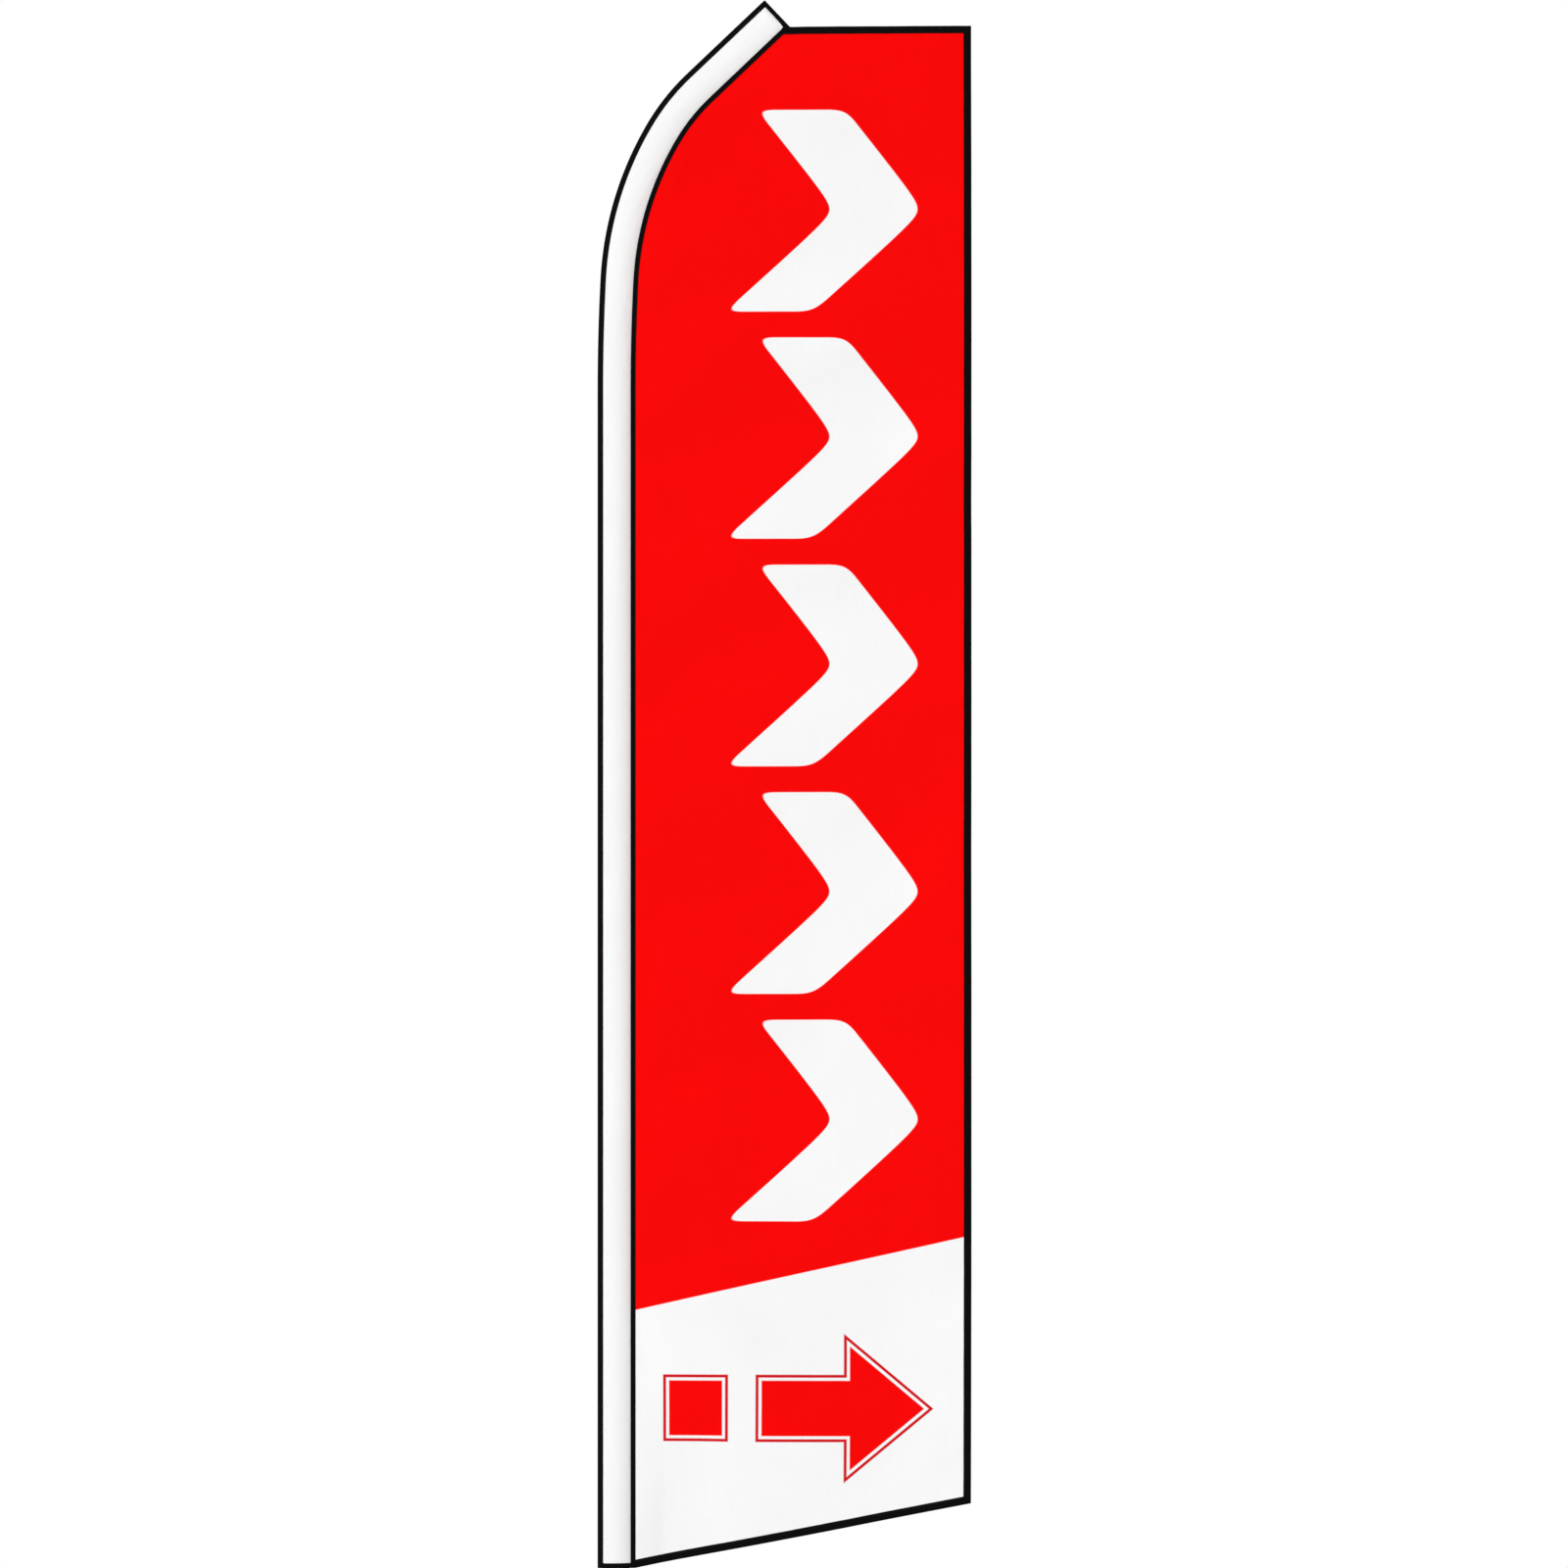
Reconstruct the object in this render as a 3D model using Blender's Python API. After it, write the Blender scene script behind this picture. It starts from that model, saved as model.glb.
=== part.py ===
"""Feather flag on a sectional pole with a ball-bearing ground spike.

Metres, +Z up. The origin is where the pole's axis meets the ground, on the underside
of the stop plate. The banner flies towards +X, and its thickness lies along Y.
"""

import math

import bmesh
import bpy
from mathutils import Matrix, Vector

# Clearances
FIT = 0.0003  # between faces that touch or slide
RUNNING_GAP = 0.001  # between the turning spindle's collar and the fixed lid

# Ground spike and stop plate
SPIKE_RADIUS = 0.008
SPIKE_DEPTH = 0.56
SPIKE_POINT = 0.07
SPIKE_SOCKET = 0.006  # how far the rod reaches into the housing's floor
PLATE_LENGTH = 0.16
PLATE_WIDTH = 0.045
PLATE_THICKNESS = 0.006

# Ball bearings, one above the other in the housing
BEARING_BORE = 0.0075
BEARING_RADIUS = 0.0175
BEARING_WIDTH = 0.011
BEARING_SPACING = 0.008
BALL_RADIUS = 0.0029
BALL_COUNT = 8
RACE_SHOULDER = 0.002  # from the balls' pitch circle to each race's shoulder
CAGE_WALL = 0.0022
CAGE_RIM = 0.0013  # cage above and below a ball's pocket

# Bearing housing and its lid
HOUSING_WALL = 0.0047
HOUSING_FLOOR = 0.012
HOUSING_SUMP = 0.0065
BEARING_LEDGE = 0.0026
LID_SPIGOT = 0.004
LID_FLANGE = 0.005
LID_LIP = 0.0015
SEAL_WALL = 0.0037
SEAL_SEAT = 0.0028

# Spindle
SPINDLE_STEP = 0.009  # radius above the upper bearing
SPINDLE_COLLAR = 0.015
SPINDLE_COLLAR_HEIGHT = 0.006
SPINDLE_RADIUS = 0.0095
SPINDLE_LENGTH = 0.18
SPINDLE_TAIL = 0.004
CIRCLIP_THICKNESS = 0.0012
CIRCLIP_WALL = 0.0028
CIRCLIP_GROOVE = 0.0009
CIRCLIP_OPENING = math.radians(60)
O_RING_SECTION = 0.0015
O_RING_GROOVE = 0.0014
O_RING_HEIGHTS = {"lower_o_ring": 0.035, "upper_o_ring": 0.115}

# Slip-fit pole sections, each one's radius following from the tube that it enters
LOWER_TUBE_RADIUS = 0.015
TUBE_WALL = 0.0015
LOWER_EXPOSED = 1.15
MIDDLE_EXPOSED = 1.10
UPPER_EXPOSED = 1.10
SPIGOT = 0.10  # length of each section inside the one below
COLLAR_WALL = 0.0035
COLLAR_HEIGHT = 0.025
BUSH_LENGTH = 0.15
BUSH_FLANGE = 0.003

# Flexible tip rod
FERRULE_LIP = 0.0011  # by which the plug's flange stands out past the tube
FERRULE_NECK_WALL = 0.0025
FERRULE_NECK_LENGTH = 0.03
ROD_RADIUS = 0.006
ROD_TIP_RADIUS = 0.0035
TIP_CAP_RADIUS = 0.006
TIP_CAP_LENGTH = 0.014
TIP_CAP_SOCKET = 0.010
POCKET_WALL = 0.0017
POCKET_LENGTH = 0.045

# Sleeve: heights and lengths follow the pole's axis, widths run across it
MOUTH_HEIGHT = 1.05
SLEEVE_STRAIGHT = 2.64
BEND_ARCS = (  # turn away from the vertical, radius of the pole's axis
    (math.radians(3.0), 4.6),
    (math.radians(27.5), 0.735),
    (math.radians(16.0), 0.48),
)
TIP_STRAIGHT = 0.24
NOSE_ROOM = 0.006  # from the widest collar to the cloth at the sleeve's outer fold
SIDE_ROOM = 0.0014  # from the same collar to the cloth on each side
SLEEVE_TAIL = 0.044
SLEEVE_CLOTH = 0.001
SLEEVE_ALLOWANCE = 0.003  # cloth sewn together at the tail
TIP_HALF_THICKNESS = 0.0093
SLEEVE_END_WALL = 0.003
PIPING_WIDTH = 0.006
PIPING_THICKNESS = 0.012
SEAM_TAPE_WIDTH = 0.009
MOUTH_HEM = 0.010
TIP_HEM = 0.008

# Banner and its bindings
FLAG_WIDTH = 0.751
HEM_RISE = 0.148  # of the slanted bottom hem, from the seam to the fly
TOP_HEM = 0.0125
FLY_HEM = 0.0142
BOTTOM_HEM = 0.013
PANEL_THICKNESS = 0.0008
BINDING_THICKNESS = 0.0024

# Tension fittings
TAB_WIDTH = 0.016
TAB_LENGTH = 0.032
TAB_THICKNESS = 0.002
TAB_FROM_TAIL = 0.010
EYELET_BORE = 0.0024
EYELET_BARREL = 0.0037
EYELET_FLANGE = 0.0055
HOOK_BELOW_MOUTH = 0.12
HOOK_COLLAR_HEIGHT = 0.028
HOOK_THICKNESS = 0.004
HOOK_WIDTH = 0.012
HOOK_GAP = 0.0085
HOOK_DROP = 0.018

# Facets
TURNED_STEPS = 32
SMALL_STEPS = 24
EYELET_STEPS = 16
SECTION_POINTS = 16
BEND_STEP = math.radians(2.5)

# Levels above the ground
HOUSING_BASE = PLATE_THICKNESS + FIT
LEDGE = HOUSING_BASE + HOUSING_FLOOR + HOUSING_SUMP
LOWER_BEARING = LEDGE + FIT
SPACER_BASE = LOWER_BEARING + BEARING_WIDTH + FIT
SPACER_LENGTH = BEARING_SPACING - 2 * FIT
UPPER_BEARING = LOWER_BEARING + BEARING_WIDTH + BEARING_SPACING
BEARINGS_TOP = UPPER_BEARING + BEARING_WIDTH
HOUSING_TOP = BEARINGS_TOP + FIT + LID_SPIGOT
LID_BASE = HOUSING_TOP + FIT
LID_TOP = LID_BASE + LID_FLANGE
COLLAR_BASE = LID_TOP + RUNNING_GAP
COLLAR_TOP = COLLAR_BASE + SPINDLE_COLLAR_HEIGHT
LOWER_TUBE_BASE = COLLAR_TOP + FIT + BUSH_FLANGE + FIT
LOWER_TUBE_TOP = LOWER_TUBE_BASE + LOWER_EXPOSED
MIDDLE_TUBE_TOP = LOWER_TUBE_TOP + MIDDLE_EXPOSED
UPPER_TUBE_TOP = MIDDLE_TUBE_TOP + UPPER_EXPOSED

# Radii that follow from what a piece fits
PITCH_RADIUS = (BEARING_BORE + BEARING_RADIUS) / 2
GROOVE_RADIUS = BALL_RADIUS + FIT
HOUSING_BORE = BEARING_RADIUS + FIT
HOUSING_RADIUS = HOUSING_BORE + HOUSING_WALL
LEDGE_RADIUS = HOUSING_BORE - BEARING_LEDGE
JOURNAL_RADIUS = BEARING_BORE - FIT
SEAL_BORE = SPINDLE_STEP + FIT
SEAL_RADIUS = SEAL_BORE + SEAL_WALL
LOWER_TUBE_BORE = LOWER_TUBE_RADIUS - TUBE_WALL
MIDDLE_TUBE_RADIUS = LOWER_TUBE_BORE - FIT
MIDDLE_TUBE_BORE = MIDDLE_TUBE_RADIUS - TUBE_WALL
UPPER_TUBE_RADIUS = MIDDLE_TUBE_BORE - FIT
UPPER_TUBE_BORE = UPPER_TUBE_RADIUS - TUBE_WALL
FERRULE_RADIUS = UPPER_TUBE_BORE - FIT
FERRULE_FLANGE = UPPER_TUBE_RADIUS + FERRULE_LIP
FERRULE_NECK = ROD_RADIUS + FIT + FERRULE_NECK_WALL
O_RING_BORE = SPINDLE_RADIUS - O_RING_GROOVE + FIT
BUSH_BORE = O_RING_BORE + 2 * O_RING_SECTION + FIT

# Widths across the pole's axis, the sleeve's following from the widest collar inside it
COLLAR_RADIUS = MIDDLE_TUBE_RADIUS + FIT + COLLAR_WALL
SLEEVE_NOSE = COLLAR_RADIUS + NOSE_ROOM + SLEEVE_CLOTH
SLEEVE_HALF_THICKNESS = COLLAR_RADIUS + SIDE_ROOM + SLEEVE_CLOTH
PIPING_EDGE = SLEEVE_NOSE + PIPING_WIDTH
SEAM_TAPE_EDGE = SLEEVE_TAIL + SEAM_TAPE_WIDTH

# Stations along the pole's axis, measured from the sleeve's mouth
BEND_LENGTH = sum(turn * radius for turn, radius in BEND_ARCS)
SLEEVE_LENGTH = SLEEVE_STRAIGHT + BEND_LENGTH + TIP_STRAIGHT
TIP_HEADING = sum(turn for turn, radius in BEND_ARCS)
SLEEVE_END = SLEEVE_LENGTH - TIP_HEM - FIT
POCKET_TOP = SLEEVE_END - SLEEVE_END_WALL - FIT
TIP_CAP_TOP = POCKET_TOP - POCKET_WALL - FIT
ROD_END = TIP_CAP_TOP - (TIP_CAP_LENGTH - TIP_CAP_SOCKET) - FIT
FERRULE_BASE = UPPER_TUBE_TOP - SPIGOT

# Colour, roughness, metallic
ZINC_STEEL = ((0.58, 0.59, 0.60), 0.38, 1.0)
BEARING_STEEL = ((0.72, 0.72, 0.73), 0.18, 1.0)
BLACK_STEEL = ((0.03, 0.03, 0.032), 0.45, 0.6)
ALUMINIUM = ((0.74, 0.75, 0.76), 0.32, 1.0)
BRASS = ((0.78, 0.60, 0.28), 0.28, 1.0)
BLACK_PLASTIC = ((0.025, 0.025, 0.027), 0.5, 0.0)
RUBBER = ((0.02, 0.02, 0.02), 0.85, 0.0)
FIBREGLASS = ((0.86, 0.86, 0.82), 0.4, 0.0)
RED_CLOTH = ((0.9, 0.0, 0.0), 0.85, 0.0)
WHITE_CLOTH = ((0.92, 0.92, 0.92), 0.85, 0.0)
BLACK_TAPE = ((0.01, 0.01, 0.01), 0.8, 0.0)


# ---------------------------------------------------------------- building blocks


def group(name, height, parent=None):
    """An empty on the pole's axis, at a height above the ground."""
    empty = bpy.data.objects.new(name, None)
    bpy.context.collection.objects.link(empty)
    empty.parent = parent
    empty["height"] = height
    empty.location.z = height - (parent["height"] if parent else 0.0)
    return empty


def add(name, bm, look, parent, place=(0.0, 0.0, 0.0), tilt=0.0):
    """Turn a bmesh into a named object, placed in world axes and tilted about Y."""
    bmesh.ops.recalc_face_normals(bm, faces=bm.faces)
    mesh = bpy.data.meshes.new(name)
    bm.to_mesh(mesh)
    bm.free()
    mesh.shade_smooth()
    mesh.set_sharp_from_angle(angle=math.radians(35))
    obj = bpy.data.objects.new(name, mesh)
    bpy.context.collection.objects.link(obj)
    obj.parent = parent
    obj.location = Vector(place) - Vector((0.0, 0.0, parent["height"]))
    obj.rotation_euler.y = tilt
    mesh.materials.append(material(name, *look))
    return obj


def material(name, colour, roughness, metallic):
    """A Principled material of one colour."""
    mat = bpy.data.materials.new(name)
    mat.use_nodes = True
    shader = mat.node_tree.nodes["Principled BSDF"]
    shader.inputs["Base Color"].default_value = (*colour, 1.0)
    shader.inputs["Roughness"].default_value = roughness
    shader.inputs["Metallic"].default_value = metallic
    return mat


def combine(obj, bm, operation, place=(0.0, 0.0, 0.0)):
    """Cut a shape from an object, or join it on, in that object's own axes."""
    tool = add(obj.name + "_tool", bm, BLACK_PLASTIC, obj.parent)
    tool.location = obj.location + Vector(place)
    tool.hide_render = True
    tool.display_type = "WIRE"
    modifier = obj.modifiers.new(operation.title(), "BOOLEAN")
    modifier.operation = operation
    modifier.object = tool


def turned(profile, steps=TURNED_STEPS):
    """A body turned about Z from (radius, height) points.

    The profile is a closed loop, or an open line whose two ends lie on the axis.
    """
    bm = bmesh.new()
    verts = [bm.verts.new((r, 0.0, z)) for r, z in profile]
    edges = [bm.edges.new(pair) for pair in zip(verts, verts[1:])]
    if profile[0][0] > 0.0:
        edges.append(bm.edges.new((verts[-1], verts[0])))
    bmesh.ops.spin(
        bm,
        geom=verts + edges,
        cent=(0.0, 0.0, 0.0),
        axis=(0.0, 0.0, 1.0),
        angle=2 * math.pi,
        steps=steps,
        use_merge=True,
    )
    bmesh.ops.remove_doubles(bm, verts=bm.verts, dist=1e-7)
    return bm


def ring(inner, outer, bottom, top):
    """The profile of a plain ring."""
    return [(inner, bottom), (outer, bottom), (outer, top), (inner, top)]


def chamfered_tube(inner, outer, bottom, top, chamfer=0.0004):
    """The profile of a tube with its outer edges broken."""
    return [
        (inner, bottom),
        (outer - chamfer, bottom),
        (outer, bottom + chamfer),
        (outer, top - chamfer),
        (outer - chamfer, top),
        (inner, top),
    ]


def loop_verts(bm, points):
    """The vertices of one cross-section."""
    return [bm.verts.new(point) for point in points]


def skin(bm, first, second):
    """Join two cross-sections with a band of quads."""
    count = len(first)
    for i in range(count):
        j = (i + 1) % count
        bm.faces.new((first[i], first[j], second[j], second[i]))


def lofted(sections):
    """A solid body through a list of cross-sections, closed at both ends."""
    bm = bmesh.new()
    loops = [loop_verts(bm, points) for points in sections]
    for first, second in zip(loops, loops[1:]):
        skin(bm, first, second)
    bm.faces.new(loops[0])
    bm.faces.new(loops[-1])
    return bm


def upright_plate(outline, thickness):
    """A plate in the X-Z plane from (x, z) points, centred on Y = 0."""
    half = thickness / 2
    return lofted([[(x, y, z) for x, z in outline] for y in (-half, half)])


def cylinder(radius, length, axis="Z", steps=SMALL_STEPS):
    """A cylinder centred on the origin, along Z or Y."""
    bm = bmesh.new()
    turn = Matrix.Rotation(math.radians(90), 4, "X") if axis == "Y" else Matrix()
    bmesh.ops.create_cone(
        bm, cap_ends=True, segments=steps, radius1=radius, radius2=radius, depth=length, matrix=turn
    )
    return bm


# ---------------------------------------------------------------- the pole's axis


def axis_frame(station):
    """The pole's axis at a distance from the mouth: x, z above the mouth, heading."""
    if station <= SLEEVE_STRAIGHT:
        return 0.0, station, 0.0
    x = 0.0
    z = SLEEVE_STRAIGHT
    heading = 0.0
    left = station - SLEEVE_STRAIGHT
    for turn, radius in BEND_ARCS:
        swept = min(left / radius, turn)
        x += radius * (math.cos(heading) - math.cos(heading + swept))
        z += radius * (math.sin(heading + swept) - math.sin(heading))
        heading += swept
        left -= swept * radius
        if left <= 0.0:
            return x, z, heading
    return x + left * math.sin(heading), z + left * math.cos(heading), heading


def beside_axis(station, across):
    """The (x, z) point at a width across the pole's axis, towards the fly."""
    x, z, heading = axis_frame(station)
    return x + across * math.cos(heading), z - across * math.sin(heading)


def station_at_height(height, across):
    """The station whose point at that width lies at that height above the mouth."""
    low = 0.0
    high = SLEEVE_LENGTH + 0.1
    while high - low > 1e-7:
        middle = (low + high) / 2
        if beside_axis(middle, across)[1] < height:
            low = middle
        else:
            high = middle
    return low


def stations(start, end):
    """Stations from start to end, close together where the axis bends."""
    marks = [start]
    reached = SLEEVE_STRAIGHT
    for turn, radius in BEND_ARCS:
        steps = math.ceil(turn / BEND_STEP)
        marks += [reached + turn * radius * i / steps for i in range(steps)]
        reached += turn * radius
    marks.append(reached)
    return [start] + [mark for mark in marks if start + 1e-4 < mark < end - 1e-4] + [end]


def placed(section, station):
    """A cross-section's (across, depth) points, set square to the pole's axis."""
    x, z, heading = axis_frame(station)
    across = Vector((math.cos(heading), 0.0, -math.sin(heading)))
    return [Vector((x, depth, z)) + across * width for width, depth in section]


def swept(start, end, section_at):
    """A solid body swept along the pole's axis."""
    return lofted([placed(section_at(mark), mark) for mark in stations(start, end)])


def circle(radius, points=12):
    """A round cross-section."""
    angles = [2 * math.pi * i / points for i in range(points)]
    return [(radius * math.cos(a), radius * math.sin(a)) for a in angles]


def strip(low, high, thickness):
    """A flat cross-section between two widths."""
    half = thickness / 2
    return [(low, -half), (high, -half), (high, half), (low, half)]


def sleeve_section(nose, tail, half_thickness):
    """A drop-shaped cross-section: round at the nose, drawn out to the seam."""
    section = []
    for i in range(SECTION_POINTS):
        angle = 2 * math.pi * i / SECTION_POINTS
        across = math.cos(angle)
        depth = math.sin(angle)
        if across > 0.0:
            depth *= abs(depth) ** 0.6
        section.append((across * (tail if across > 0.0 else nose), depth * half_thickness))
    return section


def sleeve_outside(station):
    """The sleeve's outer cross-section, thinner towards the tip."""
    left = max(0.0, station - SLEEVE_STRAIGHT) / (SLEEVE_LENGTH - SLEEVE_STRAIGHT)
    half = SLEEVE_HALF_THICKNESS + (TIP_HALF_THICKNESS - SLEEVE_HALF_THICKNESS) * left
    return sleeve_section(SLEEVE_NOSE, SLEEVE_TAIL, half)


def sleeve_inside(station):
    """The sleeve's inner cross-section, with the tail's two plies sewn together."""
    half = max(abs(depth) for width, depth in sleeve_outside(station)) - SLEEVE_CLOTH
    return sleeve_section(SLEEVE_NOSE - SLEEVE_CLOTH, SLEEVE_TAIL - SLEEVE_ALLOWANCE, half)


# ---------------------------------------------------------------- ground spike


def spike_rod(parent):
    """Round steel rod with a long point, pressed up into the housing's floor."""
    top = HOUSING_BASE + SPIKE_SOCKET - FIT
    chamfer = 0.001
    profile = [
        (0.0, -SPIKE_DEPTH),
        (0.0012, -SPIKE_DEPTH + 0.001),
        (SPIKE_RADIUS, -SPIKE_DEPTH + SPIKE_POINT),
        (SPIKE_RADIUS, top - chamfer),
        (SPIKE_RADIUS - chamfer, top),
        (0.0, top),
    ]
    add("spike_rod", turned(profile), ZINC_STEEL, parent)


def stop_plate(parent):
    """Round-ended step plate that rests on the ground, with a hole for the rod."""
    half = PLATE_WIDTH / 2
    straight = PLATE_LENGTH / 2 - half
    outline = []
    for start, centre in ((0.0, straight), (math.pi, -straight)):
        for i in range(13):
            angle = start + math.pi * i / 12
            outline.append((half * math.cos(angle), centre + half * math.sin(angle)))
    edge = 0.0008
    shrink = 1.0 - edge / half
    levels = ((0.0, 1.0), (PLATE_THICKNESS - edge, 1.0), (PLATE_THICKNESS, shrink))
    bm = lofted([[(x * scale, y * scale, z) for x, y in outline] for z, scale in levels])
    plate = add("stop_plate", bm, ZINC_STEEL, parent)
    combine(plate, cylinder(SPIKE_RADIUS + FIT, 4 * PLATE_THICKNESS), "DIFFERENCE")


def bearing_housing(parent):
    """Turned steel cup that holds both bearings above the stop plate."""
    chamfer = 0.0015
    floor = HOUSING_BASE + HOUSING_FLOOR
    socket = SPIKE_RADIUS + FIT
    profile = [
        (0.0, HOUSING_BASE + SPIKE_SOCKET),
        (socket, HOUSING_BASE + SPIKE_SOCKET),
        (socket, HOUSING_BASE),
        (HOUSING_RADIUS - chamfer, HOUSING_BASE),
        (HOUSING_RADIUS, HOUSING_BASE + chamfer),
        (HOUSING_RADIUS, HOUSING_TOP),
        (HOUSING_BORE, HOUSING_TOP),
        (HOUSING_BORE, LEDGE),
        (LEDGE_RADIUS, LEDGE),
        (LEDGE_RADIUS, floor),
        (0.0, floor),
    ]
    add("bearing_housing", turned(profile), BLACK_STEEL, parent)


def housing_lid(parent):
    """Screwed lid whose spigot clamps the upper outer race, with a seat for the seal."""
    chamfer = 0.001
    spigot_radius = HOUSING_BORE - FIT
    spigot_bore = PITCH_RADIUS + RACE_SHOULDER + FIT
    profile = [
        (spigot_bore, BEARINGS_TOP + FIT),
        (spigot_radius, BEARINGS_TOP + FIT),
        (spigot_radius, LID_BASE),
        (HOUSING_RADIUS, LID_BASE),
        (HOUSING_RADIUS, LID_TOP - chamfer),
        (HOUSING_RADIUS - chamfer, LID_TOP),
        (SEAL_RADIUS + FIT, LID_TOP),
        (SEAL_RADIUS + FIT, LID_BASE + LID_LIP),
        (SEAL_RADIUS - SEAL_SEAT, LID_BASE + LID_LIP),
        (SEAL_RADIUS - SEAL_SEAT, LID_BASE),
        (spigot_bore, LID_BASE),
    ]
    add("housing_lid", turned(profile), BLACK_STEEL, parent)


def lid_seal(parent):
    """Rubber dust seal in the lid, with a lip that rises round the spindle."""
    base = LID_BASE + LID_LIP + FIT
    profile = [
        (SEAL_BORE, base),
        (SEAL_RADIUS, base),
        (SEAL_RADIUS, LID_TOP - FIT),
        (SEAL_BORE + SEAL_WALL / 2, LID_TOP - FIT),
        (SEAL_BORE + 0.0006, LID_TOP),
        (SEAL_BORE, LID_TOP),
    ]
    add("lid_seal", turned(profile, SMALL_STEPS), RUBBER, parent)


def race_profile(back, shoulder, side):
    """A race's profile about its mid-plane; side is +1 for the outer race."""
    centre_to_shoulder = abs(shoulder - PITCH_RADIUS)
    reach = math.acos(centre_to_shoulder / GROOVE_RADIUS)
    half = BEARING_WIDTH / 2
    profile = [(back, -half), (shoulder, -half)]
    for i in range(5):
        angle = -reach + 2 * reach * i / 4
        radius = PITCH_RADIUS + side * GROOVE_RADIUS * math.cos(angle)
        profile.append((radius, GROOVE_RADIUS * math.sin(angle)))
    return profile + [(shoulder, half), (back, half)]


def bearing(level, base, fixed, turning, orbiting):
    """One deep-groove bearing: its races, its cage and its balls."""
    middle = (0.0, 0.0, base + BEARING_WIDTH / 2)
    outer = race_profile(BEARING_RADIUS, PITCH_RADIUS + RACE_SHOULDER, 1)
    inner = race_profile(BEARING_BORE, PITCH_RADIUS - RACE_SHOULDER, -1)
    add(level + "_outer_race", turned(outer, SMALL_STEPS), BEARING_STEEL, fixed, middle)
    add(level + "_inner_race", turned(inner, SMALL_STEPS), BEARING_STEEL, turning, middle)
    rim = GROOVE_RADIUS + CAGE_RIM
    cage_ring = ring(PITCH_RADIUS - CAGE_WALL / 2, PITCH_RADIUS + CAGE_WALL / 2, -rim, rim)
    cage = add(level + "_ball_cage", turned(cage_ring, SMALL_STEPS), BRASS, orbiting, middle)
    combine(cage, ball_pockets(), "DIFFERENCE")
    for i in range(BALL_COUNT):
        angle = 2 * math.pi * i / BALL_COUNT
        bm = bmesh.new()
        bmesh.ops.create_icosphere(bm, subdivisions=2, radius=BALL_RADIUS)
        offset = Vector((PITCH_RADIUS * math.cos(angle), PITCH_RADIUS * math.sin(angle), 0.0))
        name = f"{level}_ball_{i + 1}"
        add(name, bm, BEARING_STEEL, orbiting, Vector(middle) + offset)


def ball_pockets():
    """Radial holes through a cage, one for each ball."""
    bm = bmesh.new()
    for i in range(BALL_COUNT):
        turn = Matrix.Rotation(2 * math.pi * i / BALL_COUNT, 4, "Z")
        outward = Matrix.Translation((PITCH_RADIUS, 0.0, 0.0))
        lay_down = Matrix.Rotation(math.radians(90), 4, "Y")
        bmesh.ops.create_cone(
            bm,
            cap_ends=True,
            segments=10,
            radius1=GROOVE_RADIUS,
            radius2=GROOVE_RADIUS,
            depth=2 * CAGE_WALL,
            matrix=turn @ outward @ lay_down,
        )
    bmesh.ops.recalc_face_normals(bm, faces=bm.faces)
    return bm


def spacers(fixed, turning):
    """Rings that hold the two bearings apart, between their races."""
    wall = 0.0025
    outer = ring(BEARING_RADIUS - wall, BEARING_RADIUS, 0.0, SPACER_LENGTH)
    inner = ring(BEARING_BORE, BEARING_BORE + wall - 2 * FIT, 0.0, SPACER_LENGTH)
    place = (0.0, 0.0, SPACER_BASE)
    add("outer_spacer", turned(outer, SMALL_STEPS), ZINC_STEEL, fixed, place)
    add("inner_spacer", turned(inner, SMALL_STEPS), ZINC_STEEL, turning, place)


def spindle(parent):
    """Turned shaft: journal, step, collar under the pole, and the long upper stud."""
    groove_top = LOWER_BEARING - FIT / 2
    groove_base = groove_top - CIRCLIP_THICKNESS - 2 * FIT
    groove = JOURNAL_RADIUS - CIRCLIP_GROOVE
    tail = groove_base - SPINDLE_TAIL
    step = BEARINGS_TOP + FIT
    top = COLLAR_TOP + SPINDLE_LENGTH
    chamfer = 0.001
    nose = 0.003
    profile = [
        (0.0, tail),
        (JOURNAL_RADIUS - chamfer, tail),
        (JOURNAL_RADIUS, tail + chamfer),
        (JOURNAL_RADIUS, groove_base),
        (groove, groove_base),
        (groove, groove_top),
        (JOURNAL_RADIUS, groove_top),
        (JOURNAL_RADIUS, step),
        (SPINDLE_STEP, step),
        (SPINDLE_STEP, COLLAR_BASE),
        (SPINDLE_COLLAR, COLLAR_BASE),
        (SPINDLE_COLLAR, COLLAR_TOP),
        (SPINDLE_RADIUS, COLLAR_TOP),
    ]
    half_groove = O_RING_SECTION + FIT
    for height in O_RING_HEIGHTS.values():
        low = COLLAR_TOP + height - half_groove
        high = COLLAR_TOP + height + half_groove
        floor = SPINDLE_RADIUS - O_RING_GROOVE
        profile += [(SPINDLE_RADIUS, low), (floor, low), (floor, high), (SPINDLE_RADIUS, high)]
    profile += [(SPINDLE_RADIUS, top - nose), (SPINDLE_RADIUS - nose, top), (0.0, top)]
    add("spindle", turned(profile), ZINC_STEEL, parent)


def spindle_circlip(parent):
    """Open retaining ring in the spindle's groove, under the lower bearing."""
    inner = JOURNAL_RADIUS - CIRCLIP_GROOVE + FIT
    outer = inner + CIRCLIP_WALL
    top = LOWER_BEARING - FIT / 2 - FIT
    section = ring(inner, outer, top - CIRCLIP_THICKNESS, top)
    sweep = 2 * math.pi - CIRCLIP_OPENING
    sections = []
    for i in range(SMALL_STEPS + 1):
        angle = CIRCLIP_OPENING / 2 + sweep * i / SMALL_STEPS
        sections.append([(r * math.cos(angle), r * math.sin(angle), z) for r, z in section])
    add("spindle_circlip", lofted(sections), ZINC_STEEL, parent)


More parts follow.
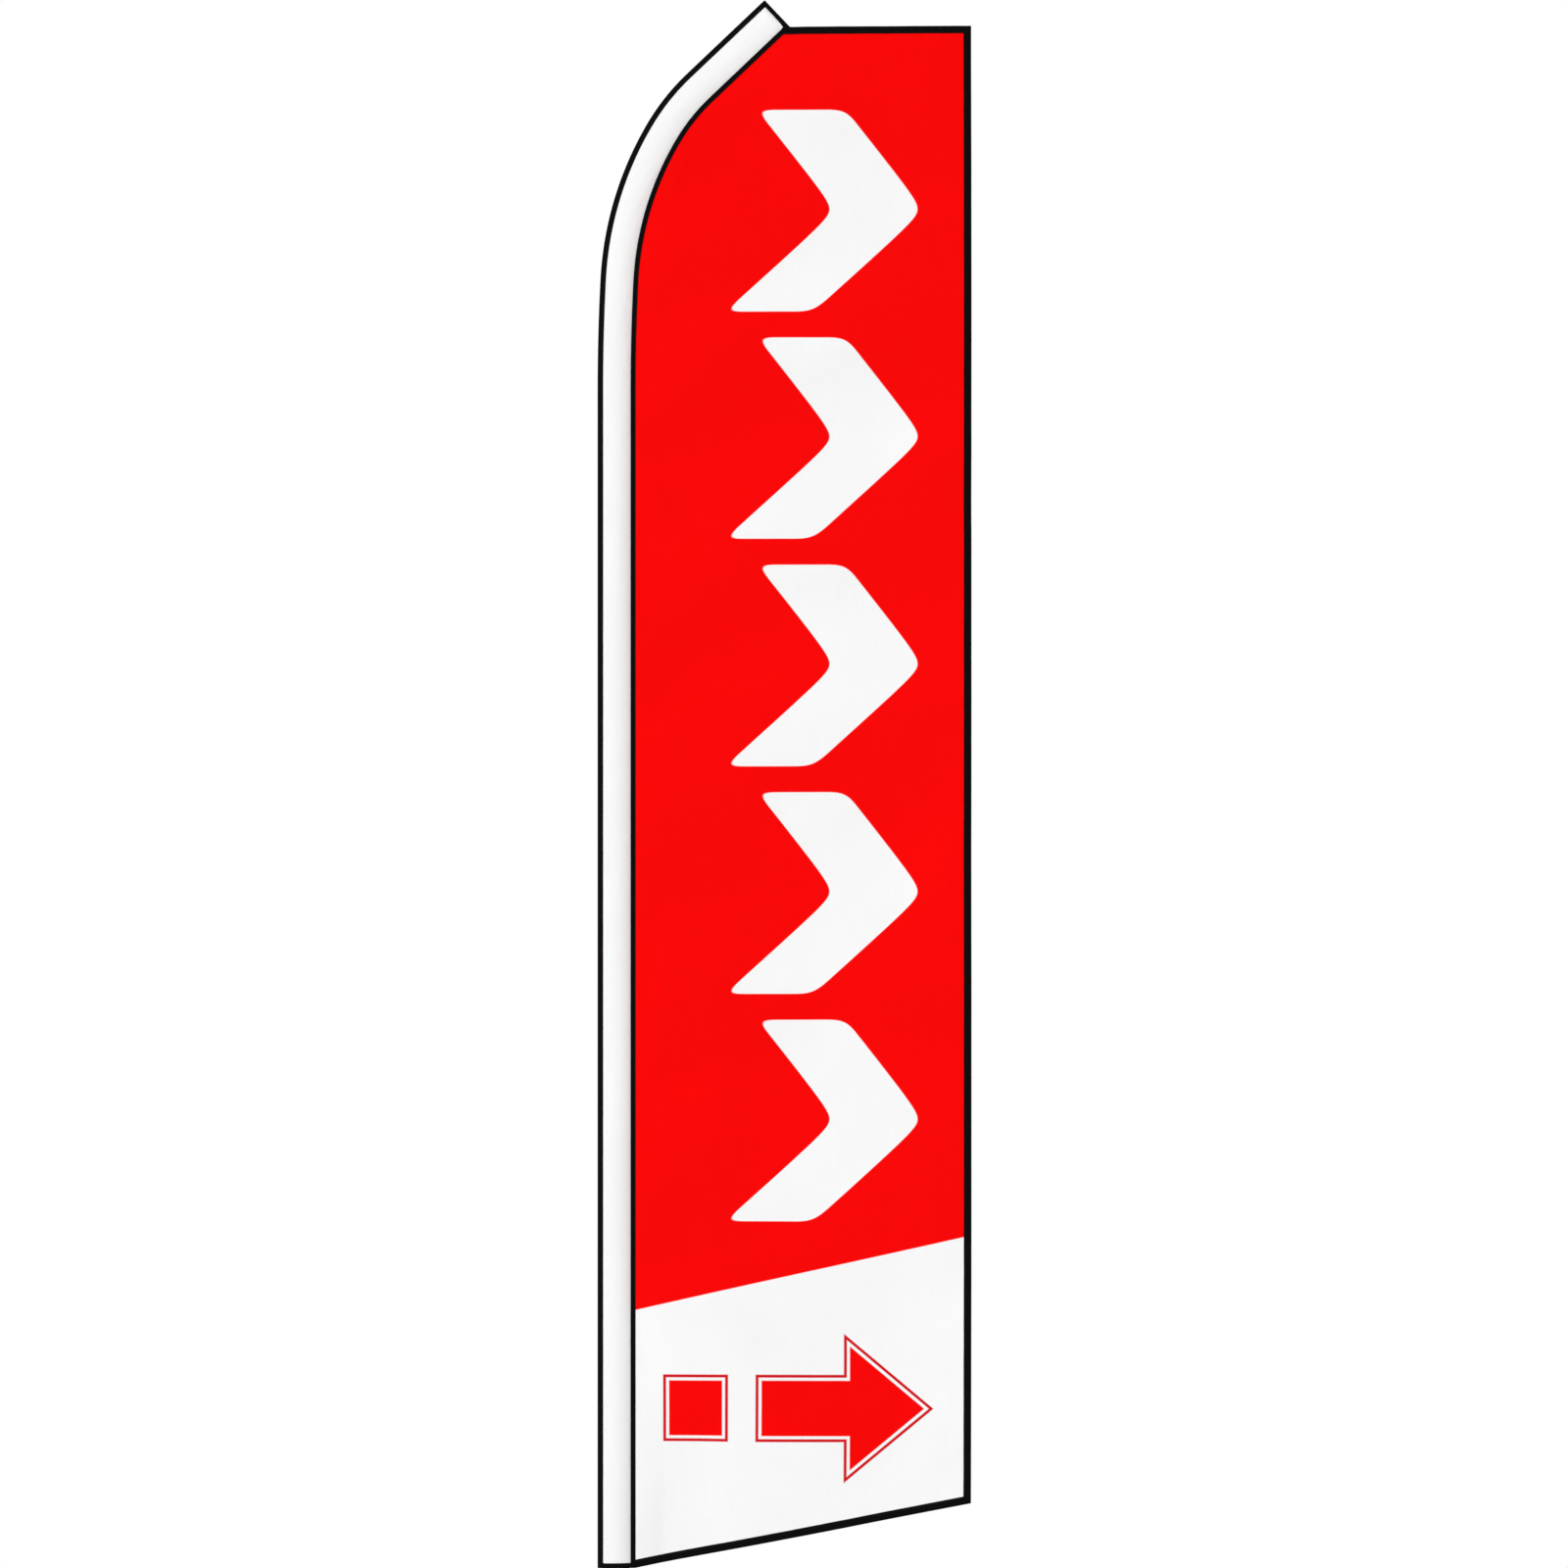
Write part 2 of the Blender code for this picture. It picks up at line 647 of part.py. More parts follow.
def o_rings(parent):
    """Rubber rings on the stud that take up the play inside the pole's bush."""
    middle = O_RING_BORE + O_RING_SECTION
    profile = [(middle + across, height) for across, height in circle(O_RING_SECTION, 8)]
    for name, height in O_RING_HEIGHTS.items():
        place = (0.0, 0.0, COLLAR_TOP + height)
        add(name, turned(profile, SMALL_STEPS), RUBBER, parent, place)


# ---------------------------------------------------------------- pole


def lower_pole(parent):
    """Lower tube, and the moulded bush in its foot that turns the spindle into a seat."""
    tube = chamfered_tube(LOWER_TUBE_BORE, LOWER_TUBE_RADIUS, LOWER_TUBE_BASE, LOWER_TUBE_TOP)
    add("lower_pole_tube", turned(tube), ALUMINIUM, parent)
    base = COLLAR_TOP + FIT
    lead_in = 0.0008
    bush = [
        (BUSH_BORE + lead_in, base),
        (LOWER_TUBE_RADIUS, base),
        (LOWER_TUBE_RADIUS, base + BUSH_FLANGE),
        (LOWER_TUBE_BORE - FIT, base + BUSH_FLANGE),
        (LOWER_TUBE_BORE - FIT, base + BUSH_FLANGE + BUSH_LENGTH),
        (BUSH_BORE, base + BUSH_FLANGE + BUSH_LENGTH),
        (BUSH_BORE, base + 2 * lead_in),
    ]
    add("pole_base_bush", turned(bush), BLACK_PLASTIC, parent)


def slip_section(name, radius, bore, seat, top, parent):
    """A tube that plugs into the one below, and the collar that stops it on the rim."""
    tube = chamfered_tube(bore, radius, seat - SPIGOT, top)
    add(name + "_pole_tube", turned(tube), ALUMINIUM, parent)
    inner = radius + FIT
    outer = inner + COLLAR_WALL
    base = seat + FIT
    shoulder = 0.007
    collar = [
        (inner, base),
        (outer, base),
        (outer, base + COLLAR_HEIGHT - shoulder),
        (inner + 0.0015, base + COLLAR_HEIGHT),
        (inner, base + COLLAR_HEIGHT),
    ]
    add(name + "_pole_collar", turned(collar), BLACK_PLASTIC, parent)


def cord_hook_collar(parent):
    """Moulded collar on the lower tube, with a hook that opens downwards."""
    inner = LOWER_TUBE_RADIUS + FIT
    outer = inner + COLLAR_WALL
    half = HOOK_COLLAR_HEIGHT / 2
    place = (0.0, 0.0, MOUTH_HEIGHT - HOOK_BELOW_MOUTH)
    profile = chamfered_tube(inner, outer, -half, half, 0.0008)
    collar = add("cord_hook_collar", turned(profile), BLACK_PLASTIC, parent, place)
    root = inner + COLLAR_WALL / 2
    near = outer + HOOK_GAP
    far = near + HOOK_THICKNESS
    arm_top = half - HOOK_THICKNESS / 2
    arm_base = arm_top - HOOK_THICKNESS
    outline = [
        (root, arm_base),
        (near, arm_base),
        (near, arm_top - HOOK_DROP),
        (far, arm_top - HOOK_DROP),
        (far, arm_top),
        (root, arm_top),
    ]
    combine(collar, upright_plate(outline, HOOK_WIDTH), "UNION")


def tip_rod(parent):
    """Tapered fibreglass rod, its plug in the upper tube and its rubber cap."""
    base = FERRULE_BASE
    seat = UPPER_TUBE_TOP + FIT
    flange = 0.008
    bore = ROD_RADIUS + FIT
    ferrule = [
        (bore, base),
        (FERRULE_RADIUS - 0.001, base),
        (FERRULE_RADIUS, base + 0.002),
        (FERRULE_RADIUS, seat),
        (FERRULE_FLANGE, seat),
        (FERRULE_FLANGE, seat + flange),
        (FERRULE_NECK, seat + flange + 0.002),
        (FERRULE_NECK - 0.001, seat + flange + FERRULE_NECK_LENGTH),
        (bore, seat + flange + FERRULE_NECK_LENGTH),
    ]
    add("tip_ferrule", turned(ferrule), BLACK_PLASTIC, parent)
    start = base - MOUTH_HEIGHT
    length = ROD_END - start

    def section_at(station):
        taper = (station - start) / length
        return circle(ROD_RADIUS + (ROD_TIP_RADIUS - ROD_RADIUS) * taper)

    rod = swept(start, ROD_END, section_at)
    add("tip_rod", rod, FIBREGLASS, parent, (0.0, 0.0, MOUTH_HEIGHT))
    socket = ROD_TIP_RADIUS + FIT
    shoulder = 0.003
    cap = [
        (0.0, TIP_CAP_SOCKET),
        (socket, TIP_CAP_SOCKET),
        (socket, 0.0),
        (TIP_CAP_RADIUS, 0.0),
        (TIP_CAP_RADIUS, TIP_CAP_LENGTH - shoulder),
        (TIP_CAP_RADIUS - shoulder, TIP_CAP_LENGTH),
        (0.0, TIP_CAP_LENGTH),
    ]
    add_at_tip("tip_cap", turned(cap, SMALL_STEPS), RUBBER, parent, TIP_CAP_TOP - TIP_CAP_LENGTH)


def add_at_tip(name, bm, look, parent, station):
    """Place a turned piece on the tip's straight stretch, along the pole's axis."""
    x, z = beside_axis(station, 0.0)
    add(name, bm, look, parent, (x, 0.0, MOUTH_HEIGHT + z), TIP_HEADING)


# ---------------------------------------------------------------- sleeve


def pole_sleeve(parent):
    """Cloth tube round the pole, open at the mouth and closed at the tip."""
    start = MOUTH_HEM + FIT
    bm = bmesh.new()
    outside = [
        loop_verts(bm, placed(sleeve_outside(mark), mark)) for mark in stations(start, SLEEVE_END)
    ]
    inner_end = SLEEVE_END - SLEEVE_END_WALL
    inside = [
        loop_verts(bm, placed(sleeve_inside(mark), mark)) for mark in stations(start, inner_end)
    ]
    for loops in (outside, inside):
        for first, second in zip(loops, loops[1:]):
            skin(bm, first, second)
        bm.faces.new(loops[-1])
    skin(bm, outside[0], inside[0])
    add("pole_sleeve", bm, WHITE_CLOTH, parent, (0.0, 0.0, MOUTH_HEIGHT))


def mouth_binding(parent):
    """Folded tape round the sleeve's open mouth."""
    bm = bmesh.new()
    rings = []
    for mark in (0.0, MOUTH_HEM):
        outer = loop_verts(bm, placed(sleeve_outside(mark), mark))
        inner = loop_verts(bm, placed(sleeve_inside(mark), mark))
        skin(bm, outer, inner)
        rings.append((outer, inner))
    for lower, upper in zip(*rings):
        skin(bm, lower, upper)
    add("mouth_binding", bm, BLACK_TAPE, parent, (0.0, 0.0, MOUTH_HEIGHT))


def sleeve_tapes(parent):
    """Tapes along the sleeve: its outer edge, its seam with the banner, and its tip."""
    mouth = (0.0, 0.0, MOUTH_HEIGHT)
    piping = strip(-PIPING_EDGE, -SLEEVE_NOSE - FIT, PIPING_THICKNESS)
    seam = strip(SLEEVE_TAIL + FIT, SEAM_TAPE_EDGE, BINDING_THICKNESS)
    edge_body = swept(0.0, SLEEVE_LENGTH, lambda station: piping)
    seam_body = swept(0.0, SLEEVE_LENGTH, lambda station: seam)
    tip_body = swept(SLEEVE_LENGTH - TIP_HEM, SLEEVE_LENGTH, sleeve_outside)
    add("sleeve_edge_piping", edge_body, BLACK_TAPE, parent, mouth)
    add("seam_tape", seam_body, BLACK_TAPE, parent, mouth)
    add("sleeve_tip_binding", tip_body, BLACK_TAPE, parent, mouth)


def tip_pocket(parent):
    """Reinforced pouch inside the sleeve's closed end, over the rod's rubber cap."""
    inner = TIP_CAP_RADIUS + FIT
    outer = inner + POCKET_WALL
    profile = [
        (0.0, POCKET_LENGTH - POCKET_WALL),
        (inner, POCKET_LENGTH - POCKET_WALL),
        (inner, 0.0),
        (outer, 0.0),
        (outer, POCKET_LENGTH),
        (0.0, POCKET_LENGTH),
    ]
    bm = turned(profile, SMALL_STEPS)
    add_at_tip("tip_pocket", bm, BLACK_TAPE, parent, POCKET_TOP - POCKET_LENGTH)


def tension_tab(parent):
    """Webbing tab under the mouth, and the brass eyelet set in it for a cord."""
    low = SLEEVE_TAIL - TAB_FROM_TAIL - TAB_WIDTH / 2
    high = low + TAB_WIDTH
    top = MOUTH_HEIGHT - FIT
    corner = TAB_WIDTH / 4
    outline = [
        (low, top),
        (low, top - TAB_LENGTH + corner),
        (low + corner, top - TAB_LENGTH),
        (high - corner, top - TAB_LENGTH),
        (high, top - TAB_LENGTH + corner),
        (high, top),
    ]
    tab = add("tie_tab", upright_plate(outline, TAB_THICKNESS), BLACK_TAPE, parent)
    centre = Vector(((low + high) / 2, 0.0, top - TAB_LENGTH + TAB_WIDTH / 2))
    hole = cylinder(EYELET_BARREL + FIT, 4 * TAB_THICKNESS, "Y")
    combine(tab, hole, "DIFFERENCE", centre)
    inside = TAB_THICKNESS / 2 + FIT
    outside = inside + 0.0008
    profile = [
        (EYELET_BORE, -outside),
        (EYELET_FLANGE, -outside),
        (EYELET_FLANGE, -inside),
        (EYELET_BARREL, -inside),
        (EYELET_BARREL, inside),
        (EYELET_FLANGE, inside),
        (EYELET_FLANGE, outside),
        (EYELET_BORE, outside),
    ]
    bm = turned(profile, EYELET_STEPS)
    bmesh.ops.rotate(bm, verts=bm.verts, matrix=Matrix.Rotation(math.radians(90), 3, "X"))
    add("tie_eyelet", bm, BRASS, parent, centre)


# ---------------------------------------------------------------- banner


def banner(parent):
    """The printed panel, with folded tape on its top, fly and bottom edges."""
    seam = SEAM_TAPE_EDGE + FIT
    fly = SEAM_TAPE_EDGE + FLAG_WIDTH
    inner_fly = fly - FLY_HEM
    top = beside_axis(SLEEVE_LENGTH, SEAM_TAPE_EDGE)[1]
    under_top = top - TOP_HEM
    slope = HEM_RISE / FLAG_WIDTH
    hem = BOTTOM_HEM * math.hypot(1.0, slope)
    mouth = (0.0, 0.0, MOUTH_HEIGHT)

    def hem_height(x):
        return slope * (x - SEAM_TAPE_EDGE)

    def seam_point(height):
        return beside_axis(station_at_height(height, seam), seam)

    def add_cloth(name, outline, thickness, look):
        add(name, upright_plate(outline, thickness), look, parent, mouth)

    top_edge = [seam_point(top), (fly, top), (fly, under_top), seam_point(under_top)]
    add_cloth("top_binding", top_edge, BINDING_THICKNESS, BLACK_TAPE)
    fly_edge = [
        (inner_fly, under_top - FIT),
        (fly, under_top - FIT),
        (fly, hem_height(fly)),
        (inner_fly, hem_height(inner_fly)),
    ]
    add_cloth("fly_binding", fly_edge, BINDING_THICKNESS, BLACK_TAPE)
    butt = inner_fly - FIT
    bottom_edge = [
        (seam, hem_height(seam)),
        (butt, hem_height(butt)),
        (butt, hem_height(butt) + hem),
        (seam, hem_height(seam) + hem),
    ]
    add_cloth("bottom_binding", bottom_edge, BINDING_THICKNESS, BLACK_TAPE)
    panel_top = under_top - FIT
    panel_base = hem_height(seam) + hem + FIT
    last = station_at_height(panel_top, seam)
    edge = [beside_axis(mark, seam) for mark in stations(panel_base, last)]
    panel = edge + [(butt, panel_top), (butt, hem_height(butt) + hem + FIT)]
    add_cloth("banner_panel", panel, PANEL_THICKNESS, RED_CLOTH)


# ---------------------------------------------------------------- assembly


def build():
    """The whole flag, each moving body under its own empty on the pole's axis."""
    ground = group("ground_group", 0.0)
    balls = group("ball_cage_group", LOWER_BEARING, ground)
    turning = group("spindle_group", COLLAR_BASE, ground)
    lower = group("lower_pole_group", LOWER_TUBE_BASE, turning)
    middle = group("middle_pole_group", LOWER_TUBE_TOP, lower)
    upper = group("upper_pole_group", MIDDLE_TUBE_TOP, middle)
    tip = group("tip_group", UPPER_TUBE_TOP, upper)

    spike_rod(ground)
    stop_plate(ground)
    bearing_housing(ground)
    housing_lid(ground)
    lid_seal(ground)
    bearing("lower", LOWER_BEARING, ground, turning, balls)
    bearing("upper", UPPER_BEARING, ground, turning, balls)
    spacers(ground, turning)
    spindle(turning)
    spindle_circlip(turning)
    o_rings(turning)

    lower_pole(lower)
    cord_hook_collar(lower)
    slip_section(
        "middle", MIDDLE_TUBE_RADIUS, MIDDLE_TUBE_BORE, LOWER_TUBE_TOP, MIDDLE_TUBE_TOP, middle
    )
    slip_section("upper", UPPER_TUBE_RADIUS, UPPER_TUBE_BORE, MIDDLE_TUBE_TOP, UPPER_TUBE_TOP, upper)
    tip_rod(tip)

    pole_sleeve(tip)
    mouth_binding(tip)
    sleeve_tapes(tip)
    tip_pocket(tip)
    tension_tab(tip)
    banner(tip)


for old in list(bpy.data.objects):
    bpy.data.objects.remove(old)
build()
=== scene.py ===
import math

import bmesh
import bpy
import numpy as np
from mathutils import Matrix, Vector, noise


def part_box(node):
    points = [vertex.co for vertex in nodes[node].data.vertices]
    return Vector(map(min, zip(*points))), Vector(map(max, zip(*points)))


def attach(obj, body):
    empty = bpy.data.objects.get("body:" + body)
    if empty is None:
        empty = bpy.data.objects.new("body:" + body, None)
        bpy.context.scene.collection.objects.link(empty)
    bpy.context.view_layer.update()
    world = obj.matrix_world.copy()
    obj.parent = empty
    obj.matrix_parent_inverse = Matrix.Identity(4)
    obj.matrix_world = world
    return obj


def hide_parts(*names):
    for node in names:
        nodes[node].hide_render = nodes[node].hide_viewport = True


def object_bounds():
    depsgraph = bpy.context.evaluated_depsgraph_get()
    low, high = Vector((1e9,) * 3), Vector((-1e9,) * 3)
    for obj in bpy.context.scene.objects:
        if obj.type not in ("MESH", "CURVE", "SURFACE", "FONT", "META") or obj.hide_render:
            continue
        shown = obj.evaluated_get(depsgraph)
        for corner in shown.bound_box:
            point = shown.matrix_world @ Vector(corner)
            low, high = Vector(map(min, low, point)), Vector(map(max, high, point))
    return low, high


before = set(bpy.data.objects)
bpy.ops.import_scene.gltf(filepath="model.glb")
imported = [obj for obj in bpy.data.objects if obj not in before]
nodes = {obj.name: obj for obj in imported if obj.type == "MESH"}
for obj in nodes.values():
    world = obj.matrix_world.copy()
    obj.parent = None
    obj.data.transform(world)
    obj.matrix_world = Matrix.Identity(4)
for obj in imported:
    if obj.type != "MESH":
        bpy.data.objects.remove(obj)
cad_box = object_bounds()

# ---------------------------- spike rod and stop plate
# A long pointed rod that is driven into the ground, and the round-ended plate that comes
# to rest on it. Both are mild steel, welded together and then zinc plated all over.


def finish_of(name, colour, roughness, **sockets):
    """A Principled material whose plain values sit on the shader itself."""
    mat = bpy.data.materials.new(name)
    mat.use_nodes = True
    shader = mat.node_tree.nodes["Principled BSDF"]
    shader.inputs["Base Color"].default_value = (*colour, 1.0)
    shader.inputs["Roughness"].default_value = roughness
    for socket, value in sockets.items():
        shader.inputs[socket.replace("_", " ")].default_value = value
    return mat


def node(mat, kind, inputs=None, **settings):
    """Add a node, with its settings, and a value or a link on each input that is named."""
    made = mat.node_tree.nodes.new("ShaderNode" + kind)
    for key, value in settings.items():
        setattr(made, key, value)
    for key, value in (inputs or {}).items():
        if isinstance(value, bpy.types.NodeSocket):
            mat.node_tree.links.new(value, made.inputs[key])
        else:
            made.inputs[key].default_value = value
    return made


def drive(mat, socket, value):
    """Link a value to one of the shader's sockets."""
    shader = mat.node_tree.nodes["Principled BSDF"]
    mat.node_tree.links.new(value, shader.inputs[socket])


def sums(mat, operation, *values):
    """One step of arithmetic on numbers or links."""
    return node(mat, "Math", dict(enumerate(values)), operation=operation).outputs[0]


def plus(mat, first, second):
    return sums(mat, "ADD", first, second)


def place_on(mat, stretch=(1.0, 1.0, 1.0)):
    """The piece's own coordinates in metres, stretched for a grain that runs one way."""
    where = node(mat, "TexCoord").outputs["Object"]
    return node(mat, "Mapping", {"Vector": where, "Scale": stretch}).outputs[0]


def speckle(mat, where, scale, detail=3.0, rough=0.6):
    """Noise from 0 to 1."""
    inputs = {"Vector": where, "Scale": scale, "Detail": detail, "Roughness": rough}
    return node(mat, "TexNoise", inputs).outputs["Fac"]


def spread(mat, value, low, high, start=0.3, end=0.7):
    """Turn a value that runs from start to end into one that runs from low to high."""
    inputs = {"Value": value, "From Min": start, "From Max": end, "To Min": low, "To Max": high}
    return node(mat, "MapRange", inputs).outputs[0]


def tint(mat, share, first, second):
    """A colour between two, by a share from 0 to 1."""
    inputs = {0: share, 6: (*first, 1.0), 7: (*second, 1.0)}
    return node(mat, "Mix", inputs, data_type="RGBA").outputs[2]


def clouded(mat, value, first, second):
    """Colour that drifts from one to another with a noise."""
    drive(mat, "Base Color", tint(mat, spread(mat, value, 0.0, 1.0), first, second))


def relief(mat, height, distance):
    """Bump from a height that runs from 0 to 1, over a distance in metres."""
    inputs = {"Height": height, "Distance": distance, "Strength": 1.0}
    drive(mat, "Normal", node(mat, "Bump", inputs).outputs[0])


def paint(mat, *names, edge=0.0003, sharp=40.0):
    """Give CAD nodes a material, shade their round faces smooth and break their edges."""
    for name in names:
        mesh = nodes[name].data
        mesh.materials.clear()
        mesh.materials.append(mat)
        if "custom_normal" in mesh.attributes:
            mesh.attributes.remove(mesh.attributes["custom_normal"])
        mesh.shade_smooth()
        weld = nodes[name].modifiers.new("weld", "WELD")
        weld.merge_threshold = 1e-6
        bevel = nodes[name].modifiers.new("edges", "BEVEL")
        bevel.width = edge
        bevel.segments = 2
        bevel.limit_method = "ANGLE"
        bevel.angle_limit = math.radians(sharp)
        bevel.harden_normals = True


def zinc_plate():
    """Bright zinc: a faint blue-yellow cloud, drawn scratches and handling scuffs."""
    mat = finish_of("zinc_plate", (0.56, 0.57, 0.58), 0.35, Metallic=1.0)
    clouded(mat, speckle(mat, place_on(mat), 38.0), (0.50, 0.52, 0.55), (0.63, 0.62, 0.58))
    drawn = speckle(mat, place_on(mat, (1.0, 1.0, 0.04)), 900.0)
    scuff = speckle(mat, place_on(mat), 210.0, 5.0)
    drive(mat, "Roughness", spread(mat, plus(mat, drawn, scuff), 0.24, 0.50, 0.8, 1.3))
    relief(mat, drawn, 0.00004)
    return mat


zinc = zinc_plate()
paint(zinc, "spike_rod", "stop_plate")


def solid(name, verts, faces, body, mat):
    """A new piece from a list of points and faces, riding on a CAD body."""
    mesh = bpy.data.meshes.new(name)
    mesh.from_pydata([tuple(v) for v in verts], [], faces)
    mesh.update()
    bm = bmesh.new()
    bm.from_mesh(mesh)
    bmesh.ops.recalc_face_normals(bm, faces=bm.faces)
    bm.to_mesh(mesh)
    bm.free()
    mesh.shade_smooth()
    mesh.materials.append(mat)
    piece = bpy.data.objects.new(name, mesh)
    bpy.context.collection.objects.link(piece)
    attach(piece, body)
    return piece


def rings_to_faces(rings, around, closed_rings=False):
    """Faces between rings of points; closed_rings joins the last ring to the first."""
    faces = []
    for i in range(rings if closed_rings else rings - 1):
        for j in range(around):
            a = i * around + j
            b = i * around + (j + 1) % around
            c = ((i + 1) % rings) * around
            faces.append((a, b, c + (j + 1) % around, c + j))
    return faces


WELD_RIPPLE = 0.045
WELD_HOLLOW = 0.86
WELD_ROUNDING = 0.8
HOUSING_WELD_LEG = 0.0032
ROD_WELD_LEG = 0.0022


def weld_bead(name, radius, level, leg, up, count):
    """A rippled fillet of weld round an upright cylinder, on a level face."""
    steps = count * 5
    verts = []
    for i in range(steps):
        angle = 2 * math.pi * i / steps
        ripple = WELD_RIPPLE * leg * math.sin(count * angle) * (1 + 0.4 * math.sin(7 * angle))
        for k in range(6):
            bow = math.pi / 2 * k / 5
            out = radius + (leg + ripple) * (1.0 - WELD_HOLLOW * math.sin(bow)) ** WELD_ROUNDING
            rise = (leg + ripple) * (1.0 - WELD_HOLLOW * math.cos(bow)) ** WELD_ROUNDING
            verts.append((out * math.cos(angle), out * math.sin(angle), level + up * rise))
        verts.append((radius * math.cos(angle), radius * math.sin(angle), level))
    return solid(name, verts, rings_to_faces(steps, 7, True), "ground_spike", zinc)


plate_low, plate_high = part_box("stop_plate")
spike_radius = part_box("spike_rod")[1].x
housing_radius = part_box("bearing_housing")[1].x
weld_bead("housing_weld", housing_radius - 0.0006, plate_high.z, HOUSING_WELD_LEG, 1.0, 38)
weld_bead("rod_weld", spike_radius - 0.0003, plate_low.z, ROD_WELD_LEG, -1.0, 16)

# ---------------------------- bearing housing and lid
# A cup turned from steel that holds two ball bearings, and the lid screwed into it. Both
# are powder coated black, with the fine orange peel that the coating cures to.


def powder_coat():
    mat = finish_of("powder_coat", (0.012, 0.012, 0.013), 0.45, Coat_Weight=0.15, Coat_Roughness=0.3)
    peel = speckle(mat, place_on(mat), 850.0, 2.0)
    dust = spread(mat, speckle(mat, place_on(mat), 60.0, 6.0), 0.0, 1.0, 0.45, 0.8)
    drive(mat, "Base Color", tint(mat, dust, (0.010, 0.010, 0.011), (0.022, 0.022, 0.023)))
    drive(mat, "Roughness", spread(mat, dust, 0.38, 0.56, 0.0, 1.0))
    relief(mat, peel, 0.00012)
    return mat


paint(powder_coat(), "bearing_housing", "housing_lid")

# ---------------------------- ball bearings and spacers
# Two deep-groove bearings, one above the other, so that the pole turns without rocking.
# Races and balls are ground and polished steel, the cages pressed brass, the spacers zinc.


def ground_steel():
    mat = finish_of("ground_steel", (0.70, 0.70, 0.71), 0.14, Metallic=1.0)
    turned = speckle(mat, place_on(mat, (0.05, 0.05, 1.0)), 2600.0)
    drive(mat, "Roughness", spread(mat, turned, 0.10, 0.24))
    relief(mat, turned, 0.00001)
    return mat


def pressed_brass():
    mat = finish_of("pressed_brass", (0.78, 0.56, 0.24), 0.28, Metallic=1.0)
    clouded(mat, speckle(mat, place_on(mat), 120.0), (0.72, 0.50, 0.20), (0.84, 0.64, 0.32))
    drive(mat, "Roughness", spread(mat, speckle(mat, place_on(mat), 700.0), 0.20, 0.42))
    return mat


brass = pressed_brass()
steel = ground_steel()
for level in ("lower", "upper"):
    balls = [f"{level}_ball_{count}" for count in range(1, 9)]
    paint(steel, level + "_outer_race", level + "_inner_race", edge=0.0002)
    paint(steel, *balls, sharp=60.0)
    paint(brass, level + "_ball_cage")
paint(zinc, "outer_spacer", "inner_spacer")

# ---------------------------- spindle
# A turned steel shaft that carries the pole. It shows the fine rings of the lathe tool.
# A circlip holds it under the bearings; a dust seal and two O-rings on it are rubber.


LATHE_LINES = 15000.0


def times(mat, first, second):
    return sums(mat, "MULTIPLY", first, second)


def turned_steel():
    mat = finish_of("turned_steel", (0.58, 0.58, 0.59), 0.3, Metallic=1.0)
    height = node(mat, "SeparateXYZ", {0: place_on(mat)}).outputs[2]
    wander = times(mat, speckle(mat, place_on(mat), 90.0), 0.4)
    turns = plus(mat, times(mat, height, LATHE_LINES), wander)
    cut = spread(mat, sums(mat, "SINE", turns), 0.0, 1.0, -1.0, 1.0)
    drive(mat, "Roughness", spread(mat, speckle(mat, place_on(mat), 260.0, 5.0), 0.22, 0.42))
    relief(mat, cut, 0.00002)
    return mat


def moulded_rubber():
    mat = finish_of("moulded_rubber", (0.018, 0.018, 0.018), 0.75, Specular_IOR_Level=0.35)
    bloom = speckle(mat, place_on(mat), 160.0, 5.0)
    clouded(mat, bloom, (0.014, 0.014, 0.014), (0.032, 0.031, 0.030))
    relief(mat, speckle(mat, place_on(mat), 1400.0), 0.00008)
    return mat


rubber = moulded_rubber()
paint(turned_steel(), "spindle")
paint(zinc, "spindle_circlip")
paint(rubber, "lid_seal")
paint(rubber, "lower_o_ring", "upper_o_ring", sharp=60.0)

# ---------------------------- pole sections
# Three drawn aluminium tubes that plug into each other, with moulded nylon collars and a
# bush. The die leaves fine lines along the tubes, and plugging them in rubs their ends dull.

tube_tops = [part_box(name + "_pole_tube")[1].z for name in ("lower", "middle", "upper")]


def minus(mat, first, second):
    return sums(mat, "SUBTRACT", first, second)


def drawn_aluminium():
    mat = finish_of("drawn_aluminium", (0.74, 0.75, 0.76), 0.3, Metallic=1.0, Anisotropic=0.4)
    lines = speckle(mat, place_on(mat, (1.0, 1.0, 0.008)), 1500.0, 4.0)
    cloud = speckle(mat, place_on(mat, (1.0, 1.0, 0.2)), 30.0)
    clouded(mat, cloud, (0.68, 0.69, 0.71), (0.80, 0.80, 0.80))
    height = node(mat, "SeparateXYZ", {0: place_on(mat)}).outputs[2]
    worn = None
    for top in tube_tops:
        away = sums(mat, "ABSOLUTE", minus(mat, height, top - 0.02))
        patch = spread(mat, away, 1.0, 0.0, 0.02, 0.12)
        worn = patch if worn is None else sums(mat, "MAXIMUM", worn, patch)
    scuffs = spread(mat, speckle(mat, place_on(mat, (1.0, 1.0, 0.3)), 240.0, 5.0), 0.0, 1.0, 0.5, 0.7)
    rub = times(mat, worn, scuffs)
    base = spread(mat, lines, 0.22, 0.40)
    drive(mat, "Roughness", plus(mat, base, times(mat, rub, 0.25)))
    relief(mat, lines, 0.00003)
    return mat


